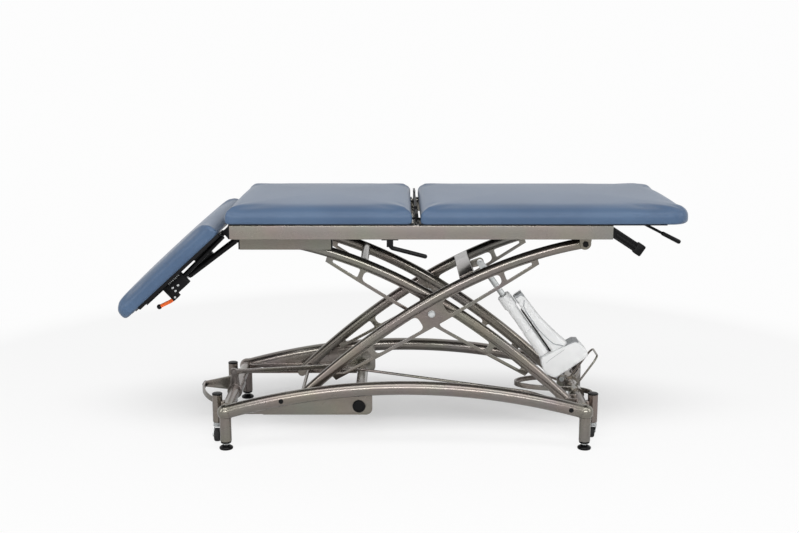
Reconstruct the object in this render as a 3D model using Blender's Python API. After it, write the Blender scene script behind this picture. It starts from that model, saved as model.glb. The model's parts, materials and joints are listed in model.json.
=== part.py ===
# Electric therapy couch with a scissor lift, a castor lift and three padded sections.
# Metres, Z up. X runs to the leg end, Y runs away from the near side, the floor is Z = 0.
import math

import bmesh
import bpy
from mathutils import Matrix, Vector

# Fits
GAP = 0.0003
RUN = 0.0005
EMBED = 0.002

# Base frame
LEG_X = 0.628
LEG_Y = 0.283
LEG_R = 0.020
LEG_BOTTOM = 0.028
AXLE_Z = 0.134
BEAM_R = 0.024
BEAM_RISE = 0.088
ELBOW_R = 0.0275
COLLAR = 0.036
CROSS_R = 0.020
TRACK_END = -0.116
TRACK_DEPTH = 0.028
TRACK_BACK = 0.006
TRACK_WALL = 0.003
TRACK_TAPER = (-0.495, 0.012)
LOWER_ROLLER_R = 0.014
ROLLER_PLAY = 0.0005
TRACK_HEIGHT = 2.0 * (LOWER_ROLLER_R + ROLLER_PLAY + TRACK_WALL)
TRACK_CORNER = 0.022
MIDDLE_TUBE_X = -0.162
MIDDLE_TUBE_Z = 0.147
MIDDLE_TUBE_R = 0.020

# Levelling feet
FOOT_R = 0.024
FOOT_HEIGHT = 0.014
STUD_R = 0.006
RING_R = 0.018
RING_HEIGHT = 0.005

# Castors
POST_OUT = 0.041
POST_Y = 0.193
POST_R = 0.018
POST_BOTTOM = 0.069
POST_TOP = 0.170
STEM_R = 0.011
STEM_TOP = 0.140
STEM_COLLAR_R = 0.0165
STEM_COLLAR_HEIGHT = 0.009
FORK_PLATE = 0.005
FORK_WALL = 0.003
FORK_TRAIL = 0.020
WHEEL_R = 0.024
WHEEL_WIDTH = 0.020
WHEEL_LIFT = 0.002
WHEEL_AXLE_R = 0.004

# Castor lift linkage
CRANK_HUB_R = 0.027
LINK_Y = -0.045
LINK_R = 0.005
LINK_KNEE = (-0.250, 0.230)
LINK_BEND = (0.460, 0.130)
LINK_BAR_HALF = (0.004, 0.008)
PEDAL_RISE = 0.013
PEDAL_REACH = 0.117
CRANK_RISE = 0.078
CRANK_DROP = 0.060
CRANK_PLATE = 0.006
CRANK_PIN_R = 0.005
PIN_PLAY = 0.004
BLADE_HALF = (0.004, 0.009)
BLADE_GAP = 0.0055
LOOP_R = 0.0038
LOOP_HALF = 0.060
LOOP_TOP = (0.078, 0.135)
BOW_REACH = 0.216
BOW_RISE = 0.018

# Scissor arms
PIVOT_X = 0.092
PIVOT_Z = 0.468
LOWER_PIVOT_X = 0.584
TOP_PIVOT_X = 0.617
TOP_PIVOT_Z = 0.720
ARM_RISE = 0.101
ARM_R = 0.019
RISING_Y = 0.208
FALLING_Y = 0.160
WEB_PLATE = 0.006
WEB_HALF = 0.36
WEB_DEPTH = 0.069
WEB_END = 0.017
WEB_STRIP = 0.010
WEB_GUSSET = 0.065
WEB_BRIDGE = 0.225
WEB_BRIDGE_WIDTH = 0.015
WEB_STOP = 0.022
ARM_HUB_R = 0.021
LOWER_HUB_R = 0.018
LOWER_LUG_R = 0.016
PIN_R = 0.008
AXLE_R = 0.006
UPPER_ROLLER_R = 0.0175
ROLLER_WIDTH = 0.016
BEAM_SHARE = 0.61
CROSS_BEAM = (0.052, 0.030)
CROSS_BEAM_LIFT = 0.006
TIE_SHARE = 0.03
TIE_R = 0.006
FALLING_TUBE_SHARE = 0.717
FALLING_TUBE_R = 0.015

# Linear drive
DRIVE_FOOT = (0.5815, 0.171)
DRIVE_HEAD = (0.2726, 0.612)
GUIDE_R = 0.021
GUIDE_END = 0.386
SLEEVE_R = 0.0245
SLEEVE_LENGTH = 0.050
ROD_R = 0.011
ROD_START = 0.235
MOTOR_R = 0.019
MOTOR_OFFSET = 0.047
MOTOR_END = 0.362
GEARBOX_START = 0.020
GEARBOX_END = 0.115
GEARBOX_BACK = 0.036
GEARBOX_FRONT = 0.137
GEARBOX_SLOPE = 0.017
GEARBOX_HALF = 0.036
GUIDE_START = GEARBOX_END + GAP
SHROUD_FOOT = 0.093
SHROUD_WAIST = (0.082, 0.155)
SHROUD_END = (0.066, 0.238)
SHROUD_HALF = 0.024
LUG_PLATE = 0.006
DRIVE_PIN_R = 0.007
DRIVE_EYE_HALF = 0.012
FORK_HALF = 0.017
FORK_CHEEK = 0.006

# Top frame
PAD_WIDTH = 0.680
RAIL_INSET = 0.030
RAIL_Y = PAD_WIDTH / 2.0 - RAIL_INSET
RAIL_WIDTH = 0.025
RAIL_LIFT = 0.032
RAIL_HEIGHT = 0.048
RAIL_BOTTOM = TOP_PIVOT_Z + RAIL_LIFT
RAIL_TOP = RAIL_BOTTOM + RAIL_HEIGHT
RAIL_LEFT = -0.589
RAIL_RIGHT = 0.694
MEMBER_HEIGHT = 0.020
MEMBER_WIDTH = 0.040
MEMBERS = (-0.500, -0.300, 0.030, TOP_PIVOT_X)
BOX_LEFT = -0.572
BOX_RIGHT = -0.256
BOX_WALL = 0.004
BOX_DEPTH = 0.024
BOX_HALF = 0.0205
LUG_GAP = 0.0015
LUG_HALF = 0.024

# Sections and pads
BOARD = 0.0075
BOARD_LIFT = 0.0007
PAD_THICKNESS = 0.0505
PAD_BOTTOM = RAIL_TOP + BOARD_LIFT + BOARD + GAP
PAD_TOP = PAD_BOTTOM + PAD_THICKNESS
PAD_CROWN = 0.006
PAD_EDGE = 0.024
PAD_FOOT = 0.012
PAD_TUCK = 0.003
PAD_CORNER = 0.016
END_CORNER = 0.040
PAD_HEART = 0.012
PAD_SKIRT = BOARD - 0.0002
BOARD_INSET = 0.030
MID_LEFT = -0.605
MID_RIGHT = 0.032
LEG_LEFT = 0.040
LEG_RIGHT = 0.955
LEG_HINGE = (0.036, 0.845)
LEG_HINGE_Y = 0.200
HINGE_PLATE = 0.006
HINGE_HALF = 0.0036
HINGE_PIN_R = 0.002
LEG_BAR_Y = RAIL_Y - 0.060
LEG_BAR = (0.014, 0.022)
LEG_BAR_ENDS = (0.100, 0.800)
LEG_SPRING_FOOT = (0.066, 0.750)
LEG_SPRING_HEAD = (0.486, 0.784)
HEAD_HINGE = (-0.581, 0.7755)
HEAD_TILT = math.radians(-42.3)
HEAD_START = 0.030
HEAD_END = 0.482
HEAD_BAR_Y = RAIL_Y - 0.048
HEAD_BAR = (0.012, 0.012)
HEAD_BAR_END = 0.036
HEAD_NECK = 0.034
STRUT_START = (0.046, 0.011)
STRUT_END = (0.250, 0.0075)
STRUT_INSET = 0.010
HEAD_BRACKET = (0.240, 0.312)
HEAD_BRACKET_WIDTH = 0.024
HEAD_BRACKET_DROP = 0.030
HEAD_STEP = (0.380, 0.006)
HEAD_SHAFT_R = 0.008
HEAD_EYE_R = 0.015
HEAD_SPRING_Y = -0.100
HEAD_SPRING_FOOT = (-0.540, 0.755)
HEAD_SPRING_AT = (0.312, -0.012)
HEAD_SPRING_LUG = (0.020, 0.030, 0.014)
SPRING_R = 0.011
SPRING_ROD_R = 0.005
SPRING_EYE_R = 0.009
SPRING_EYE_HALF = 0.006
SPRING_PIN_R = 0.004
STRUT_R = 0.0095

# Release levers
HEAD_LEVER_AT = (0.320, -0.034)
HEAD_LEVER_TIP = (0.388, -0.022)
HEAD_LEVER_INSET = 0.036
HEAD_LEVER_HALF = 0.006
HEAD_LEVER_WIDTH = 0.006
LEG_LEVER_AT = (0.822, 0.782)
LEG_LEVER_Y = -0.150
LEG_LEVER_TIP = (0.962, 0.711)
LEG_GRIP_SHARE = 0.45
LEG_GRIP_R = 0.0062
LEVER_R = 0.005
KNOB_R = 0.009
FRAME_LEVER_AT = (-0.052, 0.736)
FRAME_LEVER_TIP = (0.068, 0.6915)
FRAME_LEVER_KNEE = (0.005, -0.014)
FRAME_LEVER_R = 0.006
FRAME_LEVER_HALF = 0.007
END_BAR_LENGTH = 0.105
END_BAR_SECTION = (0.022, 0.030)
END_BAR_TILT = math.radians(33.0)

ROUND = 10
FINE = 14
PIN = 8
THROUGH = 0.02

for item in list(bpy.data.objects):
    bpy.data.objects.remove(item, do_unlink=True)

MATERIALS = {}


def material(name, colour, roughness, metallic):
    made = bpy.data.materials.new(name)
    made.use_nodes = True
    shader = made.node_tree.nodes["Principled BSDF"]
    shader.inputs["Base Color"].default_value = (*colour, 1.0)
    shader.inputs["Roughness"].default_value = roughness
    shader.inputs["Metallic"].default_value = metallic
    MATERIALS[name] = made


material("powder_coat", (0.22, 0.20, 0.17), 0.38, 0.6)
material("black_steel", (0.015, 0.015, 0.016), 0.45, 0.2)
material("black_plastic", (0.012, 0.012, 0.012), 0.5, 0.0)
material("zinc", (0.62, 0.62, 0.60), 0.3, 1.0)
material("white_plastic", (0.75, 0.75, 0.73), 0.4, 0.0)
material("vinyl", (0.16, 0.22, 0.32), 0.45, 0.0)
material("orange_plastic", (0.80, 0.22, 0.03), 0.4, 0.0)
material("grey_rubber", (0.05, 0.05, 0.05), 0.7, 0.0)


def temporary(mesh_data):
    made = bpy.data.objects.new("piece", mesh_data)
    bpy.context.collection.objects.link(made)
    return made


def from_bmesh(bm):
    bmesh.ops.recalc_face_normals(bm, faces=bm.faces)
    data = bpy.data.meshes.new("piece")
    bm.to_mesh(data)
    bm.free()
    return temporary(data)


def rings_to_solid(rings):
    # Closed solid through equal rings of points, with flat ends.
    bm = bmesh.new()
    loops = [[bm.verts.new(point) for point in ring] for ring in rings]
    count = len(loops[0])
    for low, high in zip(loops, loops[1:]):
        for i in range(count):
            j = (i + 1) % count
            bm.faces.new((low[i], low[j], high[j], high[i]))
    bm.faces.new(list(reversed(loops[0])))
    bm.faces.new(loops[-1])
    return from_bmesh(bm)


def circle(radius, sides):
    turn = 2.0 * math.pi / sides
    return [(radius * math.cos(turn * i), radius * math.sin(turn * i)) for i in range(sides)]


def rectangle(half_side, half_up):
    return [(half_side, half_up), (-half_side, half_up), (-half_side, -half_up), (half_side, -half_up)]


def sweep(path, profile):
    # Profile carried along a path, its second axis kept as near to Z as the path allows.
    path = [Vector(point) for point in path]
    rings = []
    for i, point in enumerate(path):
        before = (point - path[max(i - 1, 0)]).normalized()
        after = (path[min(i + 1, len(path) - 1)] - point).normalized()
        along = (before + after).normalized()
        up = Vector((0, 0, 1))
        if abs(along.z) > 0.95:
            up = Vector((1, 0, 0))
        side = along.cross(up).normalized()
        up = side.cross(along)
        bend = max(0.5, along.dot(after if after.length else before))
        rings.append([point + (side * a + up * b) / (bend if 0 < i < len(path) - 1 else 1.0)
                      for a, b in profile])
    return rings_to_solid(rings)


def rod(start, end, radius, sides=ROUND):
    return sweep([start, end], circle(radius, sides))


def cross_rod(x, z, y0, y1, radius, sides=ROUND):
    return rod((x, y0, z), (x, y1, z), radius, sides)


def drill(start, end, radius, sides=ROUND):
    # Cutter whose flats stay outside the stated radius.
    return rod(start, end, radius / math.cos(math.pi / sides), sides)


def cross_drill(x, z, y0, y1, radius, sides=ROUND):
    return drill((x, y0, z), (x, y1, z), radius, sides)


def block(low, high):
    x0, y0, z0 = low
    x1, y1, z1 = high
    ring = [(x0, y0), (x1, y0), (x1, y1), (x0, y1)]
    return rings_to_solid([[(x, y, z) for x, y in ring] for z in (z0, z1)])


def prism(outline, y0, y1):
    # Outline in X and Z, extruded along Y.
    return rings_to_solid([[(x, y, z) for x, z in outline] for y in (y0, y1)])


def ball(centre, radius, sides=ROUND):
    bm = bmesh.new()
    bmesh.ops.create_uvsphere(bm, u_segments=sides, v_segments=sides // 2, radius=radius,
                              matrix=Matrix.Translation(centre))
    return from_bmesh(bm)


def turned(profile, sides=FINE):
    # Solid of revolution about Z from (radius, height) points; the ends lie on flat discs.
    rings = []
    for radius, height in profile:
        rings.append([(x, y, height) for x, y in circle(radius, sides)])
    return rings_to_solid(rings)


def turned_across(profile, x, z, sides=FINE):
    # Solid of revolution about an axis along Y through (x, z), from (radius, y) points.
    rings = [[(x + a, y, z + b) for a, b in circle(radius, sides)] for radius, y in profile]
    return rings_to_solid(rings)


def combine(target, tool, operation):
    step = target.modifiers.new("Boolean", "BOOLEAN")
    step.operation = operation
    step.solver = "EXACT"
    step.object = tool
    graph = bpy.context.evaluated_depsgraph_get()
    data = bpy.data.meshes.new_from_object(target.evaluated_get(graph))
    target.modifiers.clear()
    target.data = data
    bpy.data.objects.remove(tool, do_unlink=True)


def node(name, finish, pieces, cuts=(), origin=(0, 0, 0), tilt=0.0):
    # One named sub-part: pieces fused, cuts taken out, origin set on its joint.
    made = pieces[0]
    for piece in pieces[1:]:
        combine(made, piece, "UNION")
    for cutter in cuts:
        combine(made, cutter, "DIFFERENCE")
    data = made.data
    data.name = name
    made.name = name
    data.transform(Matrix.Translation(-Vector(origin)))
    made.location = origin
    made.rotation_euler = (0.0, tilt, 0.0)
    data.materials.clear()
    data.materials.append(MATERIALS[finish])
    data.shade_smooth()
    data.set_sharp_from_angle(angle=math.radians(35.0))
    return made


# Base beams, legs and feet

def beam_point(share):
    x = LEG_X * (2.0 * share - 1.0)
    return x, AXLE_Z + BEAM_RISE * 4.0 * share * (1.0 - share)


def beam_height(x):
    return beam_point((x / LEG_X + 1.0) / 2.0)[1]


def base_beam(name, side):
    y = side * LEG_Y
    steps = 14
    points = [beam_point(i / steps) for i in range(steps + 1)]
    pieces = [sweep([(x, y, z) for x, z in points], circle(BEAM_R, ROUND))]
    for end in (-1, 1):
        x = end * LEG_X
        pieces.append(ball((x, y, AXLE_Z + EMBED / 4.0), ELBOW_R, 12))
        pieces.append(rod((x, y, LEG_BOTTOM), (x, y, AXLE_Z), LEG_R))
        pieces.append(cross_rod(x, AXLE_Z, y, y - side * COLLAR, CROSS_R))
    socket_top = LEG_BOTTOM + 0.02
    cuts = [drill((end * LEG_X, y, 0.0), (end * LEG_X, y, socket_top), STUD_R + RUN) for end in (-1, 1)]
    return node(name, "powder_coat", pieces, cuts)


def levelling_foot(name, x, y):
    ring_base = LEG_BOTTOM - GAP - RING_HEIGHT
    stud_top = LEG_BOTTOM + 0.015
    chamfer = 0.002
    profile = [(FOOT_R - chamfer, 0.0), (FOOT_R, chamfer), (FOOT_R, FOOT_HEIGHT * 0.6),
               (FOOT_R * 0.6, FOOT_HEIGHT), (STUD_R, FOOT_HEIGHT), (STUD_R, ring_base), (RING_R, ring_base),
               (RING_R, ring_base + RING_HEIGHT), (STUD_R, ring_base + RING_HEIGHT), (STUD_R, stud_top)]
    made = turned(profile, FINE)
    made.data.transform(Matrix.Translation((x, y, 0.0)))
    return node(name, "black_plastic", [made], origin=(x, y, 0.0))


# Cross tubes with the castor posts

def cross_tube(name, end, extras=()):
    x = end * LEG_X
    reach = LEG_Y - COLLAR - GAP
    pieces = [cross_rod(x, AXLE_Z, -reach, reach, CROSS_R, FINE)]
    cuts = []
    for side in (-1, 1):
        post = x + end * POST_OUT
        y = side * POST_Y
        pieces.append(rod((post, y, POST_BOTTOM), (post, y, POST_TOP), POST_R))
        web_half = 0.012
        pieces.append(block((min(x, post), y - POST_R * 0.6, AXLE_Z - web_half),
                            (max(x, post), y + POST_R * 0.6, AXLE_Z + web_half)))
        cuts.append(drill((post, y, 0.0), (post, y, STEM_TOP + 0.012), STEM_R + RUN))
    pieces.extend(extras)
    return node(name, "powder_coat", pieces, cuts)


def drive_lugs():
    # Two ears on the right cross tube with the pin that carries the foot of the linear drive.
    foot_x, foot_z = DRIVE_FOOT
    inner = DRIVE_EYE_HALF + 2.0 * RUN
    ear = 0.015
    half = 0.011
    pieces = []
    along = Vector((foot_x - LEG_X, 0.0, foot_z - AXLE_Z)).normalized()
    across = Vector((along.z, 0.0, -along.x)) * half
    root = Vector((LEG_X, 0.0, AXLE_Z)) + along * CROSS_R * 0.4
    tip = Vector((foot_x, 0.0, foot_z))
    outline = [(p.x, p.z) for p in (root - across, root + across, tip + across, tip - across)]
    for side in (-1, 1):
        ends = sorted((side * inner, side * (inner + LUG_PLATE)))
        pieces.append(prism(outline, ends[0] + GAP, ends[1] - GAP))
        pieces.append(cross_rod(foot_x, foot_z, ends[0], ends[1], ear))
    reach = inner + LUG_PLATE + 0.003
    pieces.append(cross_rod(foot_x, foot_z, -reach, reach, DRIVE_PIN_R))
    return pieces


def arm_lugs():
    # Ears on the right cross tube, with the pins that the falling arms turn on.
    pieces = []
    half = LOWER_LUG_R
    outline = [(LEG_X + CROSS_R * 0.5, AXLE_Z - half), (LEG_X + CROSS_R * 0.5, AXLE_Z + half),
               (LOWER_PIVOT_X, AXLE_Z + half), (LOWER_PIVOT_X - half * 0.7, AXLE_Z + half * 0.7),
               (LOWER_PIVOT_X - half, AXLE_Z), (LOWER_PIVOT_X - half * 0.7, AXLE_Z - half * 0.7),
               (LOWER_PIVOT_X, AXLE_Z - half)]
    for side in (-1, 1):
        pin = []
        for edge in (-1, 1):
            face = side * FALLING_Y + edge * (ARM_R + LUG_GAP)
            ends = sorted((face, face + edge * LUG_PLATE))
            pin += ends
            pieces.append(prism(outline[::-1], *ends))
        pieces.append(cross_rod(LOWER_PIVOT_X, AXLE_Z, min(pin) - 0.002, max(pin) + 0.002, PIN_R))
    return pieces


# Roller tracks of the base

def base_track(name, side):
    outer = side * (LEG_Y - BEAM_R - GAP)
    back = outer - side * TRACK_BACK
    inner = outer - side * TRACK_DEPTH
    left = -LEG_X + CROSS_R + GAP
    low = AXLE_Z - TRACK_HEIGHT / 2.0
    high = AXLE_Z + TRACK_HEIGHT / 2.0
    corner = TRACK_CORNER
    right = TRACK_END
    outline = [(left, AXLE_Z + TRACK_TAPER[1]), (TRACK_TAPER[0], low)]
    for i in range(7):
        turn = -math.pi / 2.0 + i * math.pi / 12.0
        outline.append((right - corner + corner * math.cos(turn), low + corner + corner * math.sin(turn)))
    steps = 12
    for i in range(steps + 1):
        x = right + (left - right) * i / steps
        outline.append((x, max(high, beam_height(x))))
    pieces = [prism(outline, *sorted((outer, back)))]
    flange_end = MIDDLE_TUBE_X - MIDDLE_TUBE_R - 0.006
    for base in (low, high - TRACK_WALL):
        ends = sorted((back + side * EMBED, inner))
        pieces.append(block((left, ends[0], base), (flange_end, ends[1], base + TRACK_WALL)))
    hole = cross_drill(MIDDLE_TUBE_X, MIDDLE_TUBE_Z, side * 0.2, side * 0.3, MIDDLE_TUBE_R + GAP, FINE)
    return node(name, "powder_coat", pieces, [hole])


# Castors

def castor(prefix, x, y, end):
    # The fork is built trailing along X and then turned a quarter about its stem.
    axle_z = WHEEL_R + WHEEL_LIFT
    home = Matrix.Translation((x, y, 0.0))
    quarter = home @ Matrix.Rotation(end * math.pi / 2.0, 4, "Z") @ home.inverted()
    collar_top = POST_BOTTOM - 0.002
    collar_low = collar_top - STEM_COLLAR_HEIGHT
    fork_top = collar_low - GAP
    fork_low = fork_top - FORK_PLATE
    stem_low = fork_low + 0.001
    stem = turned([(STEM_R * 0.5, stem_low), (STEM_R * 0.5, collar_low), (STEM_COLLAR_R, collar_low),
                   (STEM_COLLAR_R, collar_top), (STEM_R, collar_top), (STEM_R, STEM_TOP)], ROUND)
    stem.data.transform(Matrix.Translation((x, y, 0.0)))
    node(prefix + "_castor_stem", "zinc", [stem], origin=(x, y, collar_low))
    inside = WHEEL_WIDTH / 2.0 + 0.0015
    outside = inside + FORK_WALL
    turned_plate = turned([(outside + 0.003, fork_low), (outside + 0.003, fork_top)], ROUND)
    turned_plate.data.transform(Matrix.Translation((x, y, 0.0)))
    pieces = [turned_plate]
    cheek = [(x - 0.012, fork_top - 0.001), (x + 0.010, fork_top - 0.001),
             (x + FORK_TRAIL + 0.008, axle_z + 0.004), (x + FORK_TRAIL + 0.006, axle_z - 0.007),
             (x + FORK_TRAIL - 0.006, axle_z - 0.007), (x - 0.010, fork_low - 0.002)]
    for side in (-1, 1):
        ends = sorted((y + side * inside, y + side * outside))
        pieces.append(prism(cheek, *ends))
    reach = outside + 0.002
    pieces.append(cross_rod(x + FORK_TRAIL, axle_z, y - reach, y + reach, WHEEL_AXLE_R, PIN))
    bore = drill((x, y, 0.0), (x, y, 0.2), STEM_R * 0.5 + RUN)
    for piece in pieces:
        piece.data.transform(quarter)
    node(prefix + "_castor_fork", "zinc", pieces, [bore], origin=(x, y, fork_top))
    half = WHEEL_WIDTH / 2.0
    hub_half = half + 0.001
    tread = [(WHEEL_AXLE_R + 0.004, y - hub_half), (WHEEL_R * 0.75, y - half + 0.003), (WHEEL_R * 0.85, y - half),
             (WHEEL_R, y - half * 0.5), (WHEEL_R, y + half * 0.5), (WHEEL_R * 0.85, y + half),
             (WHEEL_R * 0.75, y + half - 0.003), (WHEEL_AXLE_R + 0.004, y + hub_half)]
    wheel = turned_across(tread, x + FORK_TRAIL, axle_z, FINE)
    hole = cross_drill(x + FORK_TRAIL, axle_z, y - THROUGH, y + THROUGH, WHEEL_AXLE_R + RUN, PIN)
    wheel.data.transform(quarter)
    hole.data.transform(quarter)
    node(prefix + "_castor_wheel", "grey_rubber", [wheel], [hole], origin=(x, y + end * FORK_TRAIL, axle_z))


# Castor lift linkage

def crank_hub(x, y, width):
    return cross_rod(x, AXLE_Z, y - width / 2.0, y + width / 2.0, CRANK_HUB_R, FINE)


def crank_bore(x):
    return cross_drill(x, AXLE_Z, -0.15, 0.15, CROSS_R + RUN, FINE)


def blade(points):
    return sweep(points, rectangle(*BLADE_HALF))


def left_crank():
    x = -LEG_X
    plate_half = CRANK_PLATE / 2.0
    tip_x = x - PEDAL_REACH
    pin_z = AXLE_Z + CRANK_RISE
    pieces = [crank_hub(x, 0.0, 0.110)]
    pedal_z = AXLE_Z + PEDAL_RISE
    arm = [(x, AXLE_Z - 0.010), (x, AXLE_Z + 0.048), (tip_x, pedal_z + 0.008), (tip_x - 0.008, pedal_z),
           (tip_x, pedal_z - 0.008)]
    pieces.append(prism(arm, -0.005, 0.005))
    rise = [(x - 0.022, AXLE_Z), (x + 0.022, AXLE_Z), (x + 0.009, pin_z + 0.008), (x - 0.009, pin_z + 0.008)]
    pieces.append(prism(rise, LINK_Y - plate_half, LINK_Y + plate_half))
    pieces.append(cross_rod(x, pin_z, LINK_Y - 0.016, LINK_Y, CRANK_PIN_R, PIN))
    post = x - POST_OUT
    end_y = -(POST_Y - POST_R - BLADE_GAP)
    pieces.append(blade([(tip_x, 0.0, pedal_z), (tip_x + 0.004, end_y * 0.35, pedal_z),
                         (tip_x + 0.020, end_y * 0.65, pedal_z - 0.002),
                         (tip_x + 0.046, end_y * 0.88, AXLE_Z + 0.006), (post - 0.004, end_y, AXLE_Z + 0.004)]))
    return node("left_pedal_crank", "powder_coat", pieces, [crank_bore(x)], origin=(x, 0.0, AXLE_Z))


def right_crank():
    x = LEG_X
    hub_y = 0.075
    pin_z = AXLE_Z - CRANK_DROP
    plate_half = CRANK_PLATE / 2.0
    top_x = x + LOOP_TOP[0]
    top_z = AXLE_Z + LOOP_TOP[1]
    root_z = AXLE_Z + CRANK_HUB_R - 0.003
    loop = [(x, -LOOP_HALF, root_z), (top_x - 0.012, -LOOP_HALF, top_z - 0.016),
            (top_x, -LOOP_HALF + 0.012, top_z), (top_x, LOOP_HALF - 0.012, top_z),
            (top_x - 0.012, LOOP_HALF, top_z - 0.016), (x, LOOP_HALF, root_z)]
    pieces = [crank_hub(x, -hub_y, 0.040), crank_hub(x, hub_y, 0.040), sweep(loop, circle(LOOP_R, 8))]
    lobe = [(x - 0.022, AXLE_Z), (x - 0.010, pin_z - 0.006), (x + 0.010, pin_z - 0.006), (x + 0.022, AXLE_Z)]
    lobe_y = -hub_y + 0.020 - plate_half
    pieces.append(prism(lobe, lobe_y - plate_half, lobe_y + plate_half))
    pieces.append(cross_rod(x, pin_z, lobe_y, LINK_Y + 0.008, CRANK_PIN_R, PIN))
    for side in (-1, 1):
        end_y = side * (POST_Y - POST_R - BLADE_GAP)
        pieces.append(blade([(x + 0.018, side * hub_y, AXLE_Z + 0.014), (x + 0.036, side * 0.110, AXLE_Z + 0.020),
                             (x + 0.044, side * 0.140, AXLE_Z + 0.022), (x + POST_OUT, end_y, AXLE_Z + 0.018)]))
    bow_z = AXLE_Z + BOW_RISE
    bow = []
    for i in range(9):
        turn = math.pi * (i / 8.0 - 0.5)
        bow.append((x - CRANK_HUB_R - (BOW_REACH - CRANK_HUB_R) * math.cos(turn), hub_y * math.sin(turn), bow_z))
    bow = [(x - CROSS_R, -hub_y, bow_z - 0.004)] + bow + [(x - CROSS_R, hub_y, bow_z - 0.004)]
    pieces.append(blade(bow))
    return node("right_pedal_crank", "powder_coat", pieces, [crank_bore(x)], origin=(x, 0.0, AXLE_Z))


def pedal_link():
    start = (-LEG_X, LINK_Y - 0.012, AXLE_Z + CRANK_RISE)
    end = (LEG_X, LINK_Y + 0.001, AXLE_Z - CRANK_DROP)
    eye = CRANK_PIN_R + PIN_PLAY + 0.004
    knee = (LINK_KNEE[0], LINK_Y - 0.005, LINK_KNEE[1])
    bar_end = (start[0] + 0.006, start[1], start[2])
    bend = (LINK_BEND[0], LINK_Y, LINK_BEND[1])
    overlap = (knee[0] + 0.012, knee[1], knee[2] - 0.001)
    pieces = [sweep([bar_end, knee, overlap], rectangle(*LINK_BAR_HALF)), sweep([knee, bend, end], circle(LINK_R, PIN))]
    for x, y, z in (start, end):
        pieces.append(cross_rod(x, z, y - 0.004, y + 0.004, eye, ROUND))
    cuts = []
    for x, y, z in (start, end):
        cuts.append(cross_drill(x, z, y - THROUGH, y + THROUGH, CRANK_PIN_R + PIN_PLAY, ROUND))
    return node("pedal_link", "powder_coat", pieces, cuts, origin=knee)


# Scissor arms

LOW_SPAN = LOWER_PIVOT_X - PIVOT_X
HIGH_SPAN = TOP_PIVOT_X - PIVOT_X
CHORD = Vector((LOW_SPAN + HIGH_SPAN, 0.0, TOP_PIVOT_Z - AXLE_Z))


def arm_point(share, mirror):
    # Point on an arm's tube: it arches above the line between its end pivots.
    x = -LOW_SPAN + CHORD.x * share
    z = AXLE_Z + CHORD.z * share + ARM_RISE * 4.0 * share * (1.0 - share)
    return PIVOT_X + (-x if mirror else x), z


def arm_offset(share, depth, mirror):
    # Point at a depth below the tube's centre line, square to it.
    slope = CHORD.z + ARM_RISE * 4.0 * (1.0 - 2.0 * share)
    length = math.hypot(CHORD.x, slope)
    x, z = arm_point(share, False)
    x += depth * slope / length
    z -= depth * CHORD.x / length
    return (2.0 * PIVOT_X - x if mirror else x), z


def web_share(distance):
    return (LOW_SPAN + distance) / CHORD.x


def web_depth(distance):
    return ARM_R + WEB_END + (WEB_DEPTH - WEB_END) * (1.0 - (distance / WEB_HALF) ** 2)


def web_outline(start, end, top, strip, mirror):
    # Outline between a line at a depth under the tube and the web's lower edge, less a strip.
    steps = 8
    marks = [start + (end - start) * i / steps for i in range(steps + 1)]
    upper = [arm_offset(web_share(s), top, mirror) for s in marks]
    lower = [arm_offset(web_share(s), max(top + 0.001, web_depth(s) - strip), mirror) for s in marks]
    return upper + lower[::-1]


def arm(name, side_y, mirror):
    side = math.copysign(1.0, side_y)
    steps = 12
    path = [arm_point(i / steps, mirror) for i in range(steps + 1)]
    low, high = path[0], path[-1]
    pieces = [sweep([(x, side_y, z) for x, z in path], circle(ARM_R, ROUND))]
    half = WEB_PLATE / 2.0
    pieces.append(prism(web_outline(-WEB_HALF, WEB_HALF, ARM_R * 0.5, 0.0, mirror), side_y - half, side_y + half))
    cuts = []
    window_top = ARM_R + 0.002
    for start, end in ((WEB_GUSSET, WEB_BRIDGE), (WEB_BRIDGE + WEB_BRIDGE_WIDTH, WEB_HALF - WEB_STOP)):
        for sign in (-1, 1):
            marks = sorted((sign * start, sign * end))
            outline = web_outline(*marks, window_top, WEB_STRIP, mirror)
            cuts.append(prism(outline, side_y - THROUGH, side_y + THROUGH))
    cuts.append(cross_drill(PIVOT_X, PIVOT_Z, side_y - THROUGH, side_y + THROUGH, PIN_R + RUN))
    hub_half = ARM_R
    stub = 0.0255 if not mirror else 0.0225
    roller_end, fixed_end = (high, low) if mirror else (low, high)
    pieces.append(cross_rod(*roller_end, side_y - hub_half, side_y + hub_half, ARM_HUB_R))
    pieces.append(cross_rod(*roller_end, side_y, side_y + side * (hub_half + stub), AXLE_R, PIN))
    if mirror:
        pieces.append(cross_rod(*fixed_end, side_y - hub_half, side_y + hub_half, LOWER_HUB_R))
        cuts.append(cross_drill(*fixed_end, side_y - 0.05, side_y + 0.05, PIN_R + RUN))
        origin = (fixed_end[0], side_y, fixed_end[1])
    else:
        pieces.append(cross_rod(*fixed_end, side_y - hub_half, side_y + hub_half, ARM_HUB_R))
        cuts.append(cross_drill(*fixed_end, side_y - 0.05, side_y + 0.05, PIN_R + RUN))
        origin = (PIVOT_X, side_y, PIVOT_Z)
    node(name, "powder_coat", pieces, cuts, origin=origin)
    return roller_end


def roller(name, centre, inner_y, side, radius):
    x, z = centre
    start = inner_y + side * 0.002
    end = start + side * ROLLER_WIDTH
    edge = 0.0015
    profile = [(radius - edge, start), (radius, start + side * edge), (radius, end - side * edge), (radius - edge, end)]
    made = turned_across(profile, x, z, FINE)
    hole = cross_drill(x, z, start - THROUGH, end + THROUGH, AXLE_R + RUN, PIN)
    node(name, "black_plastic", [made], [hole], origin=(x, start, z))


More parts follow.
